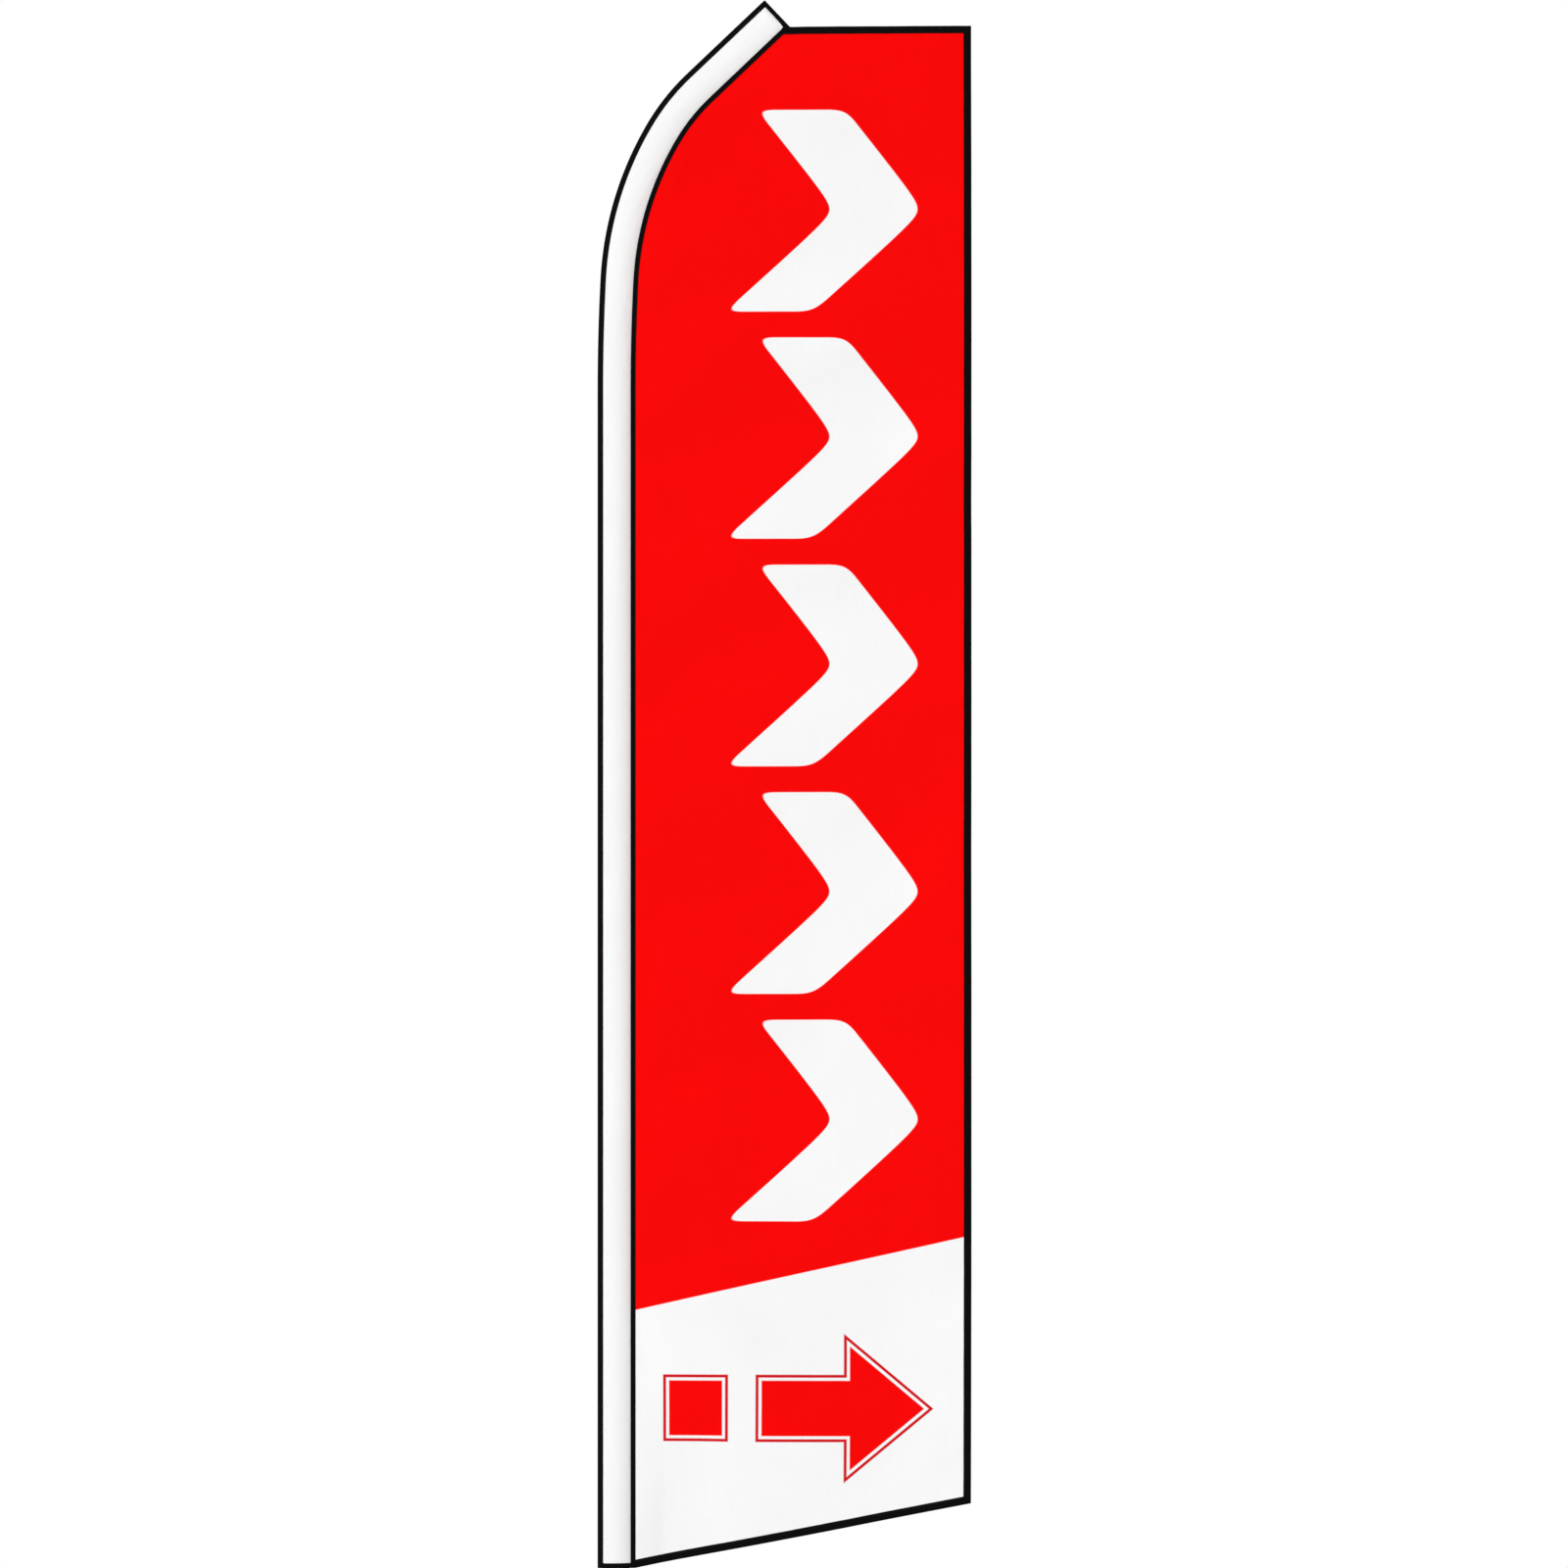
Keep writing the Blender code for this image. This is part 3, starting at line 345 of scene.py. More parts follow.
def moulded_plastic():
    """Black nylon with the fine spark grain of its mould."""
    mat = finish_of("moulded_plastic", (0.016, 0.016, 0.017), 0.48)
    flow = speckle(mat, place_on(mat), 70.0, 4.0)
    clouded(mat, flow, (0.013, 0.013, 0.014), (0.024, 0.024, 0.026))
    drive(mat, "Roughness", spread(mat, speckle(mat, place_on(mat), 500.0), 0.40, 0.60))
    relief(mat, speckle(mat, place_on(mat), 2200.0, 2.0), 0.00006)
    return mat


plastic = moulded_plastic()
paint(drawn_aluminium(), "lower_pole_tube", "middle_pole_tube", "upper_pole_tube")
paint(plastic, "pole_base_bush", "middle_pole_collar", "upper_pole_collar", edge=0.0005)
paint(plastic, "cord_hook_collar", edge=0.0009)

# ---------------------------- tip rod
# A tapered fibreglass rod that the sleeve bends into its curve. It is glued into a nylon
# plug that fits the top tube, and a rubber cap keeps its end from cutting the cloth.


def pulled_fibreglass():
    mat = finish_of("pulled_fibreglass", (0.84, 0.84, 0.79), 0.35, Coat_Weight=0.3)
    strands = speckle(mat, place_on(mat, (1.0, 1.0, 0.03)), 1100.0, 4.0)
    clouded(mat, strands, (0.78, 0.78, 0.70), (0.90, 0.90, 0.86))
    drive(mat, "Roughness", spread(mat, strands, 0.28, 0.48))
    relief(mat, strands, 0.00004)
    return mat


paint(plastic, "tip_ferrule")
paint(pulled_fibreglass(), "tip_rod")
paint(rubber, "tip_cap")

# ---------------------------- pole sleeve
# A long tube of white knitted polyester that slides down over the pole. It is cut from
# one folded strip, and gathers in small puckers on the inside of the bend.

BEND_ARCS = ((math.radians(3.0), 4.6), (math.radians(27.5), 0.735), (math.radians(16.0), 0.48))
TIP_STRAIGHT = 0.24
TIP_HEM = 0.0108
SLEEVE_GIRTH = 0.155
SLEEVE_NOSE = 0.0285
SLEEVE_HALF = 0.0190
SLEEVE_HALF_AT_TIP = 0.0092
SLEEVE_HALF_CLOSED = 0.0012
CLOSING_RUN = 0.014
SEAM_ALLOWANCE = 0.0088
CLOTH = 0.0006
PUCKER_DEPTH = 0.0021
AROUND = 44
RING_SPACING = 0.008
KNIT_RIB = 0.0011
KNIT_LOOP = 0.0009
WHITE = 0.945

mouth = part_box("mouth_binding")[0].z
edge_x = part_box("sleeve_edge_piping")[0].x
seam_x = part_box("bottom_binding")[0].x
heading_at_tip = sum(turn for turn, radius in BEND_ARCS)


def bend_rise():
    """How far the bend and the straight tip rise above the straight part."""
    z, heading = 0.0, 0.0
    for turn, radius in BEND_ARCS:
        z += radius * (math.sin(heading + turn) - math.sin(heading))
        heading += turn
    return z + TIP_STRAIGHT * math.cos(heading)


corner_rise = -edge_x * math.sin(heading_at_tip)
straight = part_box("sleeve_edge_piping")[1].z - corner_rise - bend_rise() - mouth
sleeve_length = straight + sum(turn * radius for turn, radius in BEND_ARCS) + TIP_STRAIGHT
sleeve_tail = seam_x - SEAM_ALLOWANCE


def axis_at(station):
    """The pole's axis at a distance from the mouth: x, z above the mouth, heading."""
    x, z, heading, left = 0.0, min(station, straight), 0.0, station - straight
    for turn, radius in BEND_ARCS:
        if left <= 0.0:
            return x, z, heading
        bent = min(left / radius, turn)
        x += radius * (math.cos(heading) - math.cos(heading + bent))
        z += radius * (math.sin(heading + bent) - math.sin(heading))
        heading += bent
        left -= bent * radius
    left = max(left, 0.0)
    return x + left * math.sin(heading), z + left * math.cos(heading), heading


def beside(station, across, depth):
    """A point beside the pole's axis: across towards the banner, depth to the back."""
    x, z, heading = axis_at(station)
    return (x + across * math.cos(heading), depth, mouth + z - across * math.sin(heading))


def sleeve_half(station):
    """Half the sleeve's thickness: less towards the tip, and rounded off at its end."""
    share = max(0.0, station - straight) / (sleeve_length - straight)
    half = SLEEVE_HALF + (SLEEVE_HALF_AT_TIP - SLEEVE_HALF) * share
    closing = min(1.0, max(0.0, (sleeve_length - TIP_HEM - station) / CLOSING_RUN))
    rounding = math.sqrt(closing * (2.0 - closing))
    return SLEEVE_HALF_CLOSED + (half - SLEEVE_HALF_CLOSED) * rounding


def pucker(station, angle):
    """How far the cloth stands proud of its smooth shape at a point round the sleeve."""
    tail_side = max(0.0, math.cos(angle))
    side = abs(math.sin(angle))
    bend = min(1.0, max(0.0, (station - straight + 0.25) / 0.35))
    end = min(1.0, max(0.0, (sleeve_length - station - 0.02) / 0.06))
    loose = noise.noise(Vector((station * 3.1, math.cos(angle) * 0.9, math.sin(angle) * 0.9)))
    fold = noise.noise(Vector((station * 30.0 - 6.0 * math.cos(angle), 7.3, math.sin(angle))))
    ripple = math.sin(station * 155.0 + 2.5 * math.sin(station * 23.0) + 1.3 * math.sin(angle))
    crease = PUCKER_DEPTH * bend * tail_side * side * (fold + 0.45 * ripple)
    return end * (0.0007 * loose * side + crease + 0.0004 * fold * side)


def sleeve_point(station, angle, proud=0.0):
    """Across and depth of the sleeve's surface; the angle is 0 at the seam."""
    across = math.cos(angle) * (sleeve_tail if math.cos(angle) > 0.0 else SLEEVE_NOSE)
    depth = math.sin(angle)
    if across > 0.0:
        depth *= abs(depth) ** 0.6
    half = sleeve_half(station) + pucker(station, angle)
    outward = Vector((math.cos(angle) / SLEEVE_NOSE, math.sin(angle) / SLEEVE_HALF)).normalized()
    return across + outward.x * proud, depth * half + outward.y * proud


def knit_height(mat, across, along):
    """The knit's surface from lengths in metres across its ribs and along them."""
    rib = sums(mat, "SINE", times(mat, across, 2 * math.pi / KNIT_RIB))
    shift = times(mat, rib, 1.1)
    turns = times(mat, along, 2 * math.pi / KNIT_LOOP)
    loop = sums(mat, "SINE", plus(mat, turns, shift))
    both = plus(mat, times(mat, rib, 0.32), times(mat, loop, 0.18))
    return plus(mat, both, 0.5)


def cloth_finish(mat, colour, across, along):
    """Shade a cloth by its knit, its soft storage creases, a little unevenness and painted shade in
    the knit's hollows.
    """
    knit = knit_height(mat, across, along)
    where = node(mat, "CombineXYZ", {0: across, 1: along}).outputs[0]
    uneven = speckle(mat, where, 2.6, 4.0)
    drawn_out = node(mat, "Mapping", {"Vector": where, "Scale": (420.0, 9.0, 1.0)}).outputs[0]
    slub = speckle(mat, drawn_out, 1.0)
    value = plus(mat, spread(mat, uneven, 0.965, 1.0), spread(mat, slub, -0.012, 0.012))
    # painted shade: the colour drops from 1.01 on the knit's raised ribs to 0.93 in its hollows
    value = times(mat, value, spread(mat, knit, 0.93, 1.01, 0.1, 0.6))
    shaded = node(mat, "VectorMath", {0: colour, "Scale": value}, operation="SCALE")
    drive(mat, "Base Color", shaded.outputs[0])
    drive(mat, "Roughness", spread(mat, slub, 0.76, 0.90))
    soft = speckle(mat, where, 15.0, 3.0, 0.5)
    fine = node(mat, "Bump", {"Height": knit, "Distance": 0.00028, "Strength": 0.8}).outputs[0]
    inputs = {"Height": soft, "Distance": 0.0006, "Strength": 0.3, "Normal": fine}
    drive(mat, "Normal", node(mat, "Bump", inputs).outputs[0])


def flat_colour(mat, colour):
    return node(mat, "CombineXYZ", dict(enumerate(colour))).outputs[0]


def on_the_cut(mat):
    """How far across and along the flat cut a point is, in metres."""
    flat = node(mat, "UVMap", uv_map="cut").outputs[0]
    return node(mat, "SeparateXYZ", {0: flat}).outputs[:2]


def white_knit():
    mat = finish_of("white_knit", (0.90, 0.90, 0.90), 0.84, Specular_IOR_Level=0.15)
    cloth_finish(mat, flat_colour(mat, (WHITE, WHITE, WHITE)), *on_the_cut(mat))
    return mat


def unwrap(piece, flat_points):
    """Store each corner's place on the flat cut, in metres, as a UV map."""
    mesh = piece.data
    corner = np.empty(len(mesh.loops), int)
    mesh.loops.foreach_get("vertex_index", corner)
    layer = mesh.uv_layers.new(name="cut")
    layer.uv.foreach_set("vector", np.asarray(flat_points, np.float32)[corner].ravel())


sleeve_start = 0.0012
sleeve_stop = sleeve_length - TIP_HEM + 0.001
sleeve_run = sleeve_stop - sleeve_start
ring_count = int(sleeve_run / RING_SPACING)
marks = [sleeve_start + sleeve_run * i / ring_count for i in range(ring_count + 1)]
marks = marks[:-3] + list(np.linspace(marks[-4], marks[-1], 17))[1:]
verts, flat_places = [], []
for skin_depth, ring_marks in ((0.0, marks), (-CLOTH, marks[::-1])):
    for station in ring_marks:
        for j in range(AROUND):
            angle = 2 * math.pi * (j + 0.5) / AROUND
            across, depth = sleeve_point(station, angle, skin_depth)
            verts.append(beside(station, across, depth))
            flat_places.append((SLEEVE_GIRTH * (j + 0.5) / AROUND, station))
faces = rings_to_faces(2 * len(marks), AROUND, True)
sleeve = solid("pole_sleeve_cloth", verts, faces, "tip_and_flag", white_knit())
unwrap(sleeve, flat_places)
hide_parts("pole_sleeve")

# ---------------------------- sleeve tapes
# Black woven polyester tape, folded and sewn: over the sleeve's outer fold, round its
# mouth, across its closed tip, and down the seam that joins it to the banner.

WEAVE_PITCH = 0.0007
TAPE_SPACING = 0.012
EDGE_TAPE_LIP = 0.0172
EDGE_TAPE_THICK = 0.0009
EDGE_TAPE_THINNING = 0.0005
SEAM_TAPE_HALF = 0.0012
SEAM_TAPE_OVER_SLEEVE = 0.0026
SEAM_TAPE_OVER_BANNER = 0.0018
MOUTH_TAPE_EXTRA = 0.0015
TIP_TAPE_EXTRA = 0.0012
TIP_TAPE_HALF = 0.0018
MOUTH_FOLD = (
    (1.0, 1.0), (1.1, 0.8), (0.8, 0.72), (1.1, 0.6), (1.2, 0.15),
    (0.6, 0.0), (-1.0, 0.0), (-1.7, 0.2), (-1.6, 0.9), (-0.9, 1.0),
)
TAPE_PROFILE = (
    (0.0, 0.35), (0.04, 0.8), (0.14, 1.0), (0.22, 0.72), (0.32, 1.0),
    (0.7, 0.95), (0.94, 0.8), (1.0, 0.3),
)
SEAM_PROFILE = (
    (0.0, 0.3), (0.05, 0.85), (0.14, 0.7), (0.28, 1.0), (0.72, 1.0),
    (0.86, 0.7), (0.95, 0.85), (1.0, 0.3),
)


def woven_tape():
    mat = finish_of("woven_tape", (0.003, 0.003, 0.003), 0.8, Specular_IOR_Level=0.05)
    where = place_on(mat)
    split = node(mat, "SeparateXYZ", {0: where})
    diagonal = plus(mat, split.outputs[0], split.outputs[2])
    other = minus(mat, split.outputs[0], split.outputs[2])
    warp = sums(mat, "SINE", times(mat, diagonal, 2 * math.pi / WEAVE_PITCH))
    weft = sums(mat, "SINE", times(mat, other, 2 * math.pi / WEAVE_PITCH))
    weave = spread(mat, times(mat, warp, weft), 0.0, 1.0, -1.0, 1.0)
    lint = spread(mat, speckle(mat, where, 340.0, 5.0), 0.0, 1.0, 0.55, 0.8)
    # painted shade and highlight: the weave's raised crossings are lighter and its hollows darker,
    # with real lint specks mixed in
    shade = sums(mat, "MAXIMUM", times(mat, weave, 0.5), lint)
    drive(mat, "Base Color", tint(mat, shade, (0.0012, 0.0012, 0.0012), (0.0065, 0.0065, 0.0065)))
    relief(mat, weave, 0.00012)
    return mat


tape = woven_tape()


def along_the_pole(start, end):
    """Stations along the sleeve, closer together where its tip is rounded off."""
    count = int((end - start) / TAPE_SPACING)
    found = [start + (end - start) * i / count for i in range(count + 1)]
    return found[:-2] + list(np.linspace(found[-3], found[-1], 17))[1:]


def lofted_tape(name, sections):
    """A solid tape through a list of closed cross-sections, shut at both ends."""
    around = len(sections[0])
    verts = [point for section in sections for point in section]
    faces = rings_to_faces(len(sections), around)
    faces.append(tuple(range(around)))
    faces.append(tuple(range(len(verts) - around, len(verts))))
    piece = solid(name, verts, faces, "tip_and_flag", tape)
    piece.data.set_sharp_from_angle(angle=math.radians(50))
    return piece


def edge_section(station):
    """A tape bent round the sleeve's outer fold, its lips pulled in by their stitches."""
    reach = math.acos(EDGE_TAPE_LIP / SLEEVE_NOSE)
    wander = 0.00015 * noise.noise(Vector((station * 30.0, 0.0, 4.0)))
    outer, inner = [], []
    for k in range(11):
        share = -1.0 + 2.0 * k / 10
        angle = math.pi + share * (reach + wander / SLEEVE_NOSE)
        thick = EDGE_TAPE_THICK - EDGE_TAPE_THINNING * max(0.0, abs(share) - 0.8) / 0.2
        outer.append(sleeve_point(station, angle, CLOTH + thick))
        inner.append(sleeve_point(station, angle, 0.0002))
    return [beside(station, across, depth) for across, depth in outer + inner[::-1]]


seam_tape_low = sleeve_tail - SEAM_TAPE_OVER_SLEEVE
seam_tape_wide = seam_x + SEAM_TAPE_OVER_BANNER - seam_tape_low


def seam_section(station):
    """The flat seam tape, a little hollow along its two rows of stitches."""
    low = seam_tape_low + 0.00012 * noise.noise(Vector((station * 35.0, 3.0, 1.0)))
    front = [(low + seam_tape_wide * t, -SEAM_TAPE_HALF * height) for t, height in SEAM_PROFILE]
    back = [(low + seam_tape_wide * t, SEAM_TAPE_HALF * height) for t, height in SEAM_PROFILE[::-1]]
    return [beside(station, across, depth) for across, depth in front + back]


tape_end = sleeve_length - TIP_HEM + 0.001
edge_stations = along_the_pole(0.0006, tape_end)
seam_stations = along_the_pole(0.0, tape_end)
edge_tape = lofted_tape("sleeve_edge_tape", [edge_section(s) for s in edge_stations])
seam_tape = lofted_tape("sleeve_seam_tape", [seam_section(s) for s in seam_stations])
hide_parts("sleeve_edge_piping")
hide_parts("seam_tape")

mouth_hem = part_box("mouth_binding")[1].z - mouth + MOUTH_TAPE_EXTRA
verts = []
for j in range(AROUND * 2):
    angle = math.pi * (j + 0.5) / AROUND
    for proud, rise in MOUTH_FOLD:
        across, depth = sleeve_point(sleeve_start, angle, proud * 0.001)
        verts.append((across, depth, mouth + mouth_hem * rise))
faces = rings_to_faces(AROUND * 2, len(MOUTH_FOLD), True)
mouth_tape = solid("sleeve_mouth_tape", verts, faces, "tip_and_flag", tape)
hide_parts("mouth_binding")


def tip_section(share):
    """One slice across the closed tip, share 0 at the outer fold and 1 at the seam."""
    across = edge_x + 0.0003 + (seam_x + 0.0003 - edge_x - 0.0006) * share
    width = TIP_HEM + TIP_TAPE_EXTRA
    points = []
    for profile, half in ((TAPE_PROFILE, -TIP_TAPE_HALF), (TAPE_PROFILE[::-1], TIP_TAPE_HALF)):
        for t, height in profile:
            points.append((sleeve_length - width * (1.0 - t) - 0.0001, half * height))
    return [beside(station, across, depth) for station, depth in points]


tip_tape = lofted_tape("sleeve_tip_tape", [tip_section(i / 20) for i in range(21)])
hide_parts("sleeve_tip_binding")

# ---------------------------- tip pouch
# A small pouch of doubled webbing, sewn into the sleeve's closed end. The rod's rubber cap
# sits in it, so that the bent rod pulls on the webbing and not on the thin sleeve.


def lathed(name, profile, steps, mat, place, turn):
    """A turned piece from (radius, height) points that close on themselves."""
    verts = []
    for i in range(steps):
        angle = 2 * math.pi * i / steps
        for radius, height in profile:
            point = Vector((radius * math.cos(angle), radius * math.sin(angle), height))
            verts.append(turn @ point + Vector(place))
    faces = rings_to_faces(steps, len(profile), True)
    return solid(name, verts, faces, "tip_and_flag", mat)


POUCH_OUTSIDE = [
    (0.0079, -0.045), (0.0079, -0.012), (0.0074, -0.006),
    (0.0060, -0.0025), (0.0034, -0.0007), (0.0003, 0.0),
]
pouch_inside = [(max(0.0003, radius - 0.0010), z - 0.0009) for radius, z in POUCH_OUTSIDE[::-1]]
pouch_place = beside(sleeve_length - 0.0125, 0.0, 0.0)
lean = Matrix.Rotation(heading_at_tip, 3, "Y")
pouch_outline = POUCH_OUTSIDE + pouch_inside
pouch = lathed("tip_pouch", pouch_outline, 28, tape, pouch_place, lean)
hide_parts("tip_pocket")

# ---------------------------- banner
# One layer of knitted polyester, printed so that the ink shows through on the back. It
# hangs from the sleeve's seam, and a light wind and its own weight leave it softly rippled.

fly_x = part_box("fly_binding")[1].x
top_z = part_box("top_binding")[1].z - mouth
TOP_TAPE_EXTRA = 0.0045
FLY_TAPE_EXTRA = 0.0030
TOP_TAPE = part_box("top_binding")[1].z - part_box("top_binding")[0].z + TOP_TAPE_EXTRA
FLY_TAPE = fly_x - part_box("fly_binding")[0].x + FLY_TAPE_EXTRA
BOTTOM_TAPE = 0.0180
CLOTH_WEIGHT = 0.12
CLOTH_AREA = 2.4
SIM_COLUMNS = 36
SIM_ROWS = 168
SIM_STEPS = 45
FLY_HOLD = 0.25
TOP_HOLD = 0.35
HEM_HOLD = 0.12
RIPPLE_LIMITS = (0.003, 0.020, 0.004)


def seam_line():
    """The seam's x for heights above the mouth, where the banner begins."""
    stations = np.linspace(0.0, sleeve_length, 1200)
    points = np.array([beside(s, seam_x - 0.0003, 0.0) for s in stations])
    return points[:, 2] - mouth, points[:, 0]


seam_heights, seam_xs = seam_line()
hem_rise_at_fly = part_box("fly_binding")[0].z - mouth
hem_rise_at_fly *= (fly_x - seam_x) / (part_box("fly_binding")[0].x - seam_x)


def cut_point(u, v):
    """The flat cut: u runs from the seam to the fly, v from the slanted hem to the top."""
    start = np.interp(top_z * v, seam_heights, seam_xs)
    x = start + (fly_x - start) * u
    return x, hem_rise_at_fly * u * (1.0 - v) + top_z * v


u_grid, v_grid = np.meshgrid(np.linspace(0, 1, SIM_COLUMNS + 1), np.linspace(0, 1, SIM_ROWS + 1))
cut_x, cut_z = cut_point(u_grid, v_grid)


def grid_faces(rows, columns, first=0):
    """Square faces over rows of points, from the point numbered first."""
    wide = columns + 1
    corners = [first + i * wide + j for i in range(rows) for j in range(columns)]
    return [(a, a + 1, a + wide + 1, a + wide) for a in corners]


def blown_by_simulation():
    """Hang the cloth from its seam and let a light, uneven wind work on it."""
    uneven = 0.002 * np.sin(cut_x * 13.0 + cut_z * 4.0) * u_grid
    points = np.stack([cut_x, uneven, cut_z + mouth], -1)
    mesh = bpy.data.meshes.new("hanging")
    mesh.from_pydata(points.reshape(-1, 3).tolist(), [], grid_faces(SIM_ROWS, SIM_COLUMNS))
    cloth = bpy.data.objects.new("hanging", mesh)
    bpy.context.collection.objects.link(cloth)
    wide = SIM_COLUMNS + 1
    held = cloth.vertex_groups.new(name="held")
    for i in range(SIM_ROWS + 1):
        held.add([i * wide], 1.0, "REPLACE")
        held.add([i * wide + SIM_COLUMNS], FLY_HOLD, "REPLACE")
    for j in range(1, wide):
        held.add([SIM_ROWS * wide + j], TOP_HOLD, "REPLACE")
        held.add([j], HEM_HOLD, "REPLACE")
    modifier = cloth.modifiers.new("hang", "CLOTH")
    settings = modifier.settings
    settings.quality = 7
    settings.mass = CLOTH_WEIGHT * CLOTH_AREA / len(mesh.vertices)
    settings.tension_stiffness = 18.0
    settings.compression_stiffness = 18.0
    settings.shear_stiffness = 6.0
    settings.bending_stiffness = 4.0
    settings.air_damping = 1.2
    settings.vertex_group_mass = "held"
    settings.pin_stiffness = 0.6
    settings.shrink_min = -0.006
    settings.effector_weights.gravity = 0.25
    modifier.collision_settings.use_collision = False
    modifier.collision_settings.use_self_collision = False
    wind = bpy.data.objects.new("wind", None)
    bpy.context.collection.objects.link(wind)
    wind.rotation_euler = (math.radians(80), 0.0, math.radians(25))
    bpy.context.view_layer.objects.active = wind
    bpy.context.view_layer.update()
    with bpy.context.temp_override(object=wind, active_object=wind):
        bpy.ops.object.forcefield_toggle()
    wind.field.type = "TURBULENCE"
    wind.field.strength = 0.6
    wind.field.size = 1.1
    wind.field.noise = 0.5
    wind.field.seed = 5
    scene = bpy.context.scene
    for step in range(1, SIM_STEPS + 1):
        scene.frame_set(step)
    shaped = cloth.evaluated_get(bpy.context.evaluated_depsgraph_get())
    found = np.empty(len(mesh.vertices) * 3)
    shaped.data.vertices.foreach_get("co", found)
    scene.frame_set(1)
    bpy.data.objects.remove(cloth)
    bpy.data.objects.remove(wind)
    return found.reshape(points.shape)


blown = blown_by_simulation()
moved = blown - np.stack([cut_x, np.zeros_like(cut_x), cut_z + mouth], -1)


def relaxed(grid, passes):
    """Take the finest crumpling out of the simulated cloth, as a knit's own body does."""
    for axis in (0, 1) * passes:
        before, after = np.roll(grid, 1, axis), np.roll(grid, -1, axis)
        first = [slice(None)] * 3
        final = [slice(None)] * 3
        first[axis], final[axis] = 0, -1
        before[tuple(first)], after[tuple(final)] = grid[tuple(first)], grid[tuple(final)]
        grid = (before + 2.0 * grid + after) / 4.0
    return grid


moved = relaxed(moved, 4) * np.clip(u_grid * 12.0, 0.0, 1.0)[..., None]
for axis, limit in enumerate(RIPPLE_LIMITS):
    moved[..., axis] = limit * np.tanh(moved[..., axis] / limit)


def hung_point(u, v):
    """Where a point of the flat cut has come to hang, smooth between the grid's points."""
    u, v = np.broadcast_arrays(np.asarray(u, float), np.asarray(v, float))
    a, b = np.clip(u, 0, 1) * SIM_COLUMNS, np.clip(v, 0, 1) * SIM_ROWS
    j, i = np.clip(a.astype(int), 0, SIM_COLUMNS - 1), np.clip(b.astype(int), 0, SIM_ROWS - 1)
    s, t = (a - j)[..., None], (b - i)[..., None]

    def weights(w):
        return (
            (-w + 2 * w**2 - w**3) / 2,
            (2 - 5 * w**2 + 3 * w**3) / 2,
            (w + 4 * w**2 - 3 * w**3) / 2,
            (w**3 - w**2) / 2,
        )

    total = 0.0
    for di, wi in zip((-1, 0, 1, 2), weights(t)):
        for dj, wj in zip((-1, 0, 1, 2), weights(s)):
            rows = np.clip(i + di, 0, SIM_ROWS)
            columns = np.clip(j + dj, 0, SIM_COLUMNS)
            total = total + wi * wj * moved[rows, columns]
    x, z = cut_point(u, v)
    return total + np.stack([x, np.zeros_like(x), z + mouth], -1)


def hung_normal(u, v):
    """The hung cloth's normal, pointing to the back."""
    du, dv = 0.004, 0.001
    along_u = hung_point(np.minimum(u + du, 1.0), v) - hung_point(np.maximum(u - du, 0.0), v)
    along_v = hung_point(u, np.minimum(v + dv, 1.0)) - hung_point(u, np.maximum(v - dv, 0.0))
    normal = np.cross(along_v, along_u)
    return normal / np.linalg.norm(normal, axis=-1, keepdims=True)


PRINT_RED = (0.955, 0.0008, 0.0008)
PRINT_WHITE = (WHITE, WHITE, WHITE)
PRINT_CRIMSON = (0.66, 0.004, 0.012)
BACK_RED = (0.80, 0.012, 0.012)
BACK_WHITE = (0.87, 0.865, 0.865)
SPLIT_START = 0.0576
SPLIT_AT_SEAM = 0.5776
SPLIT_SLOPE = 0.2246
CHEVRON_FIRST = 1.0007
CHEVRON_PITCH = 0.5085
CHEVRON_COUNT = 5
CHEVRON_X = 0.497
CHEVRON_LEAN = 0.16
CHEVRON_SLOPE = 0.95
CHEVRON_REACH = 0.107
CHEVRON_HALF = 0.098
CHEVRON_ARM = 0.226
CHEVRON_ROUNDING = 0.035
ARROW_HEIGHT = 0.3585
DASH = (0.1168, 0.2615)
SHAFT = (0.3229, 0.56)
BAR_HALF = 0.075
HEAD_START = 0.52
HEAD_POINT = 0.7197
HEAD_HALF = 0.1665
PRINT_LINE = 0.0066


def inside(mat, distance, soft=0.0009):
    """1 where a signed distance is below zero, with an edge as soft as printed ink."""
    return spread(mat, distance, 1.0, 0.0, -soft, soft)


def chevrons(mat, x, z):
    """Five bold chevrons, one above the other, leaning like brush strokes."""
    up = minus(mat, z, CHEVRON_FIRST - CHEVRON_PITCH / 2)
    row = sums(mat, "FLOORED_MODULO", up, CHEVRON_PITCH)
    local = minus(mat, row, CHEVRON_PITCH / 2)
    lean = times(mat, local, CHEVRON_LEAN)
    across = minus(mat, minus(mat, x, CHEVRON_X), lean)
    arm = sums(mat, "SQRT", plus(mat, times(mat, local, local), 0.0004))
    nose = plus(mat, across, times(mat, arm, CHEVRON_SLOPE))
    off_middle = sums(mat, "ABSOLUTE", minus(mat, nose, CHEVRON_REACH))
    stroke = minus(mat, off_middle, CHEVRON_HALF)
    slanted = times(mat, stroke, 1.0 / math.hypot(1.0, CHEVRON_SLOPE))
    ends = minus(mat, arm, CHEVRON_ARM)
    shape = sums(mat, "SMOOTH_MAX", slanted, ends, CHEVRON_ROUNDING)
    below = minus(mat, 0.0, up)
    above = minus(mat, up, CHEVRON_COUNT * CHEVRON_PITCH)
    return sums(mat, "MAXIMUM", sums(mat, "MAXIMUM", shape, below), above)


def box_distance(mat, x, z, low, high, half):
    """Signed distance to an upright box centred on z = 0."""
    middle, reach = (low + high) / 2, (high - low) / 2
    wide = minus(mat, sums(mat, "ABSOLUTE", minus(mat, x, middle)), reach)
    tall = minus(mat, sums(mat, "ABSOLUTE", z), half)
    return sums(mat, "MAXIMUM", wide, tall)


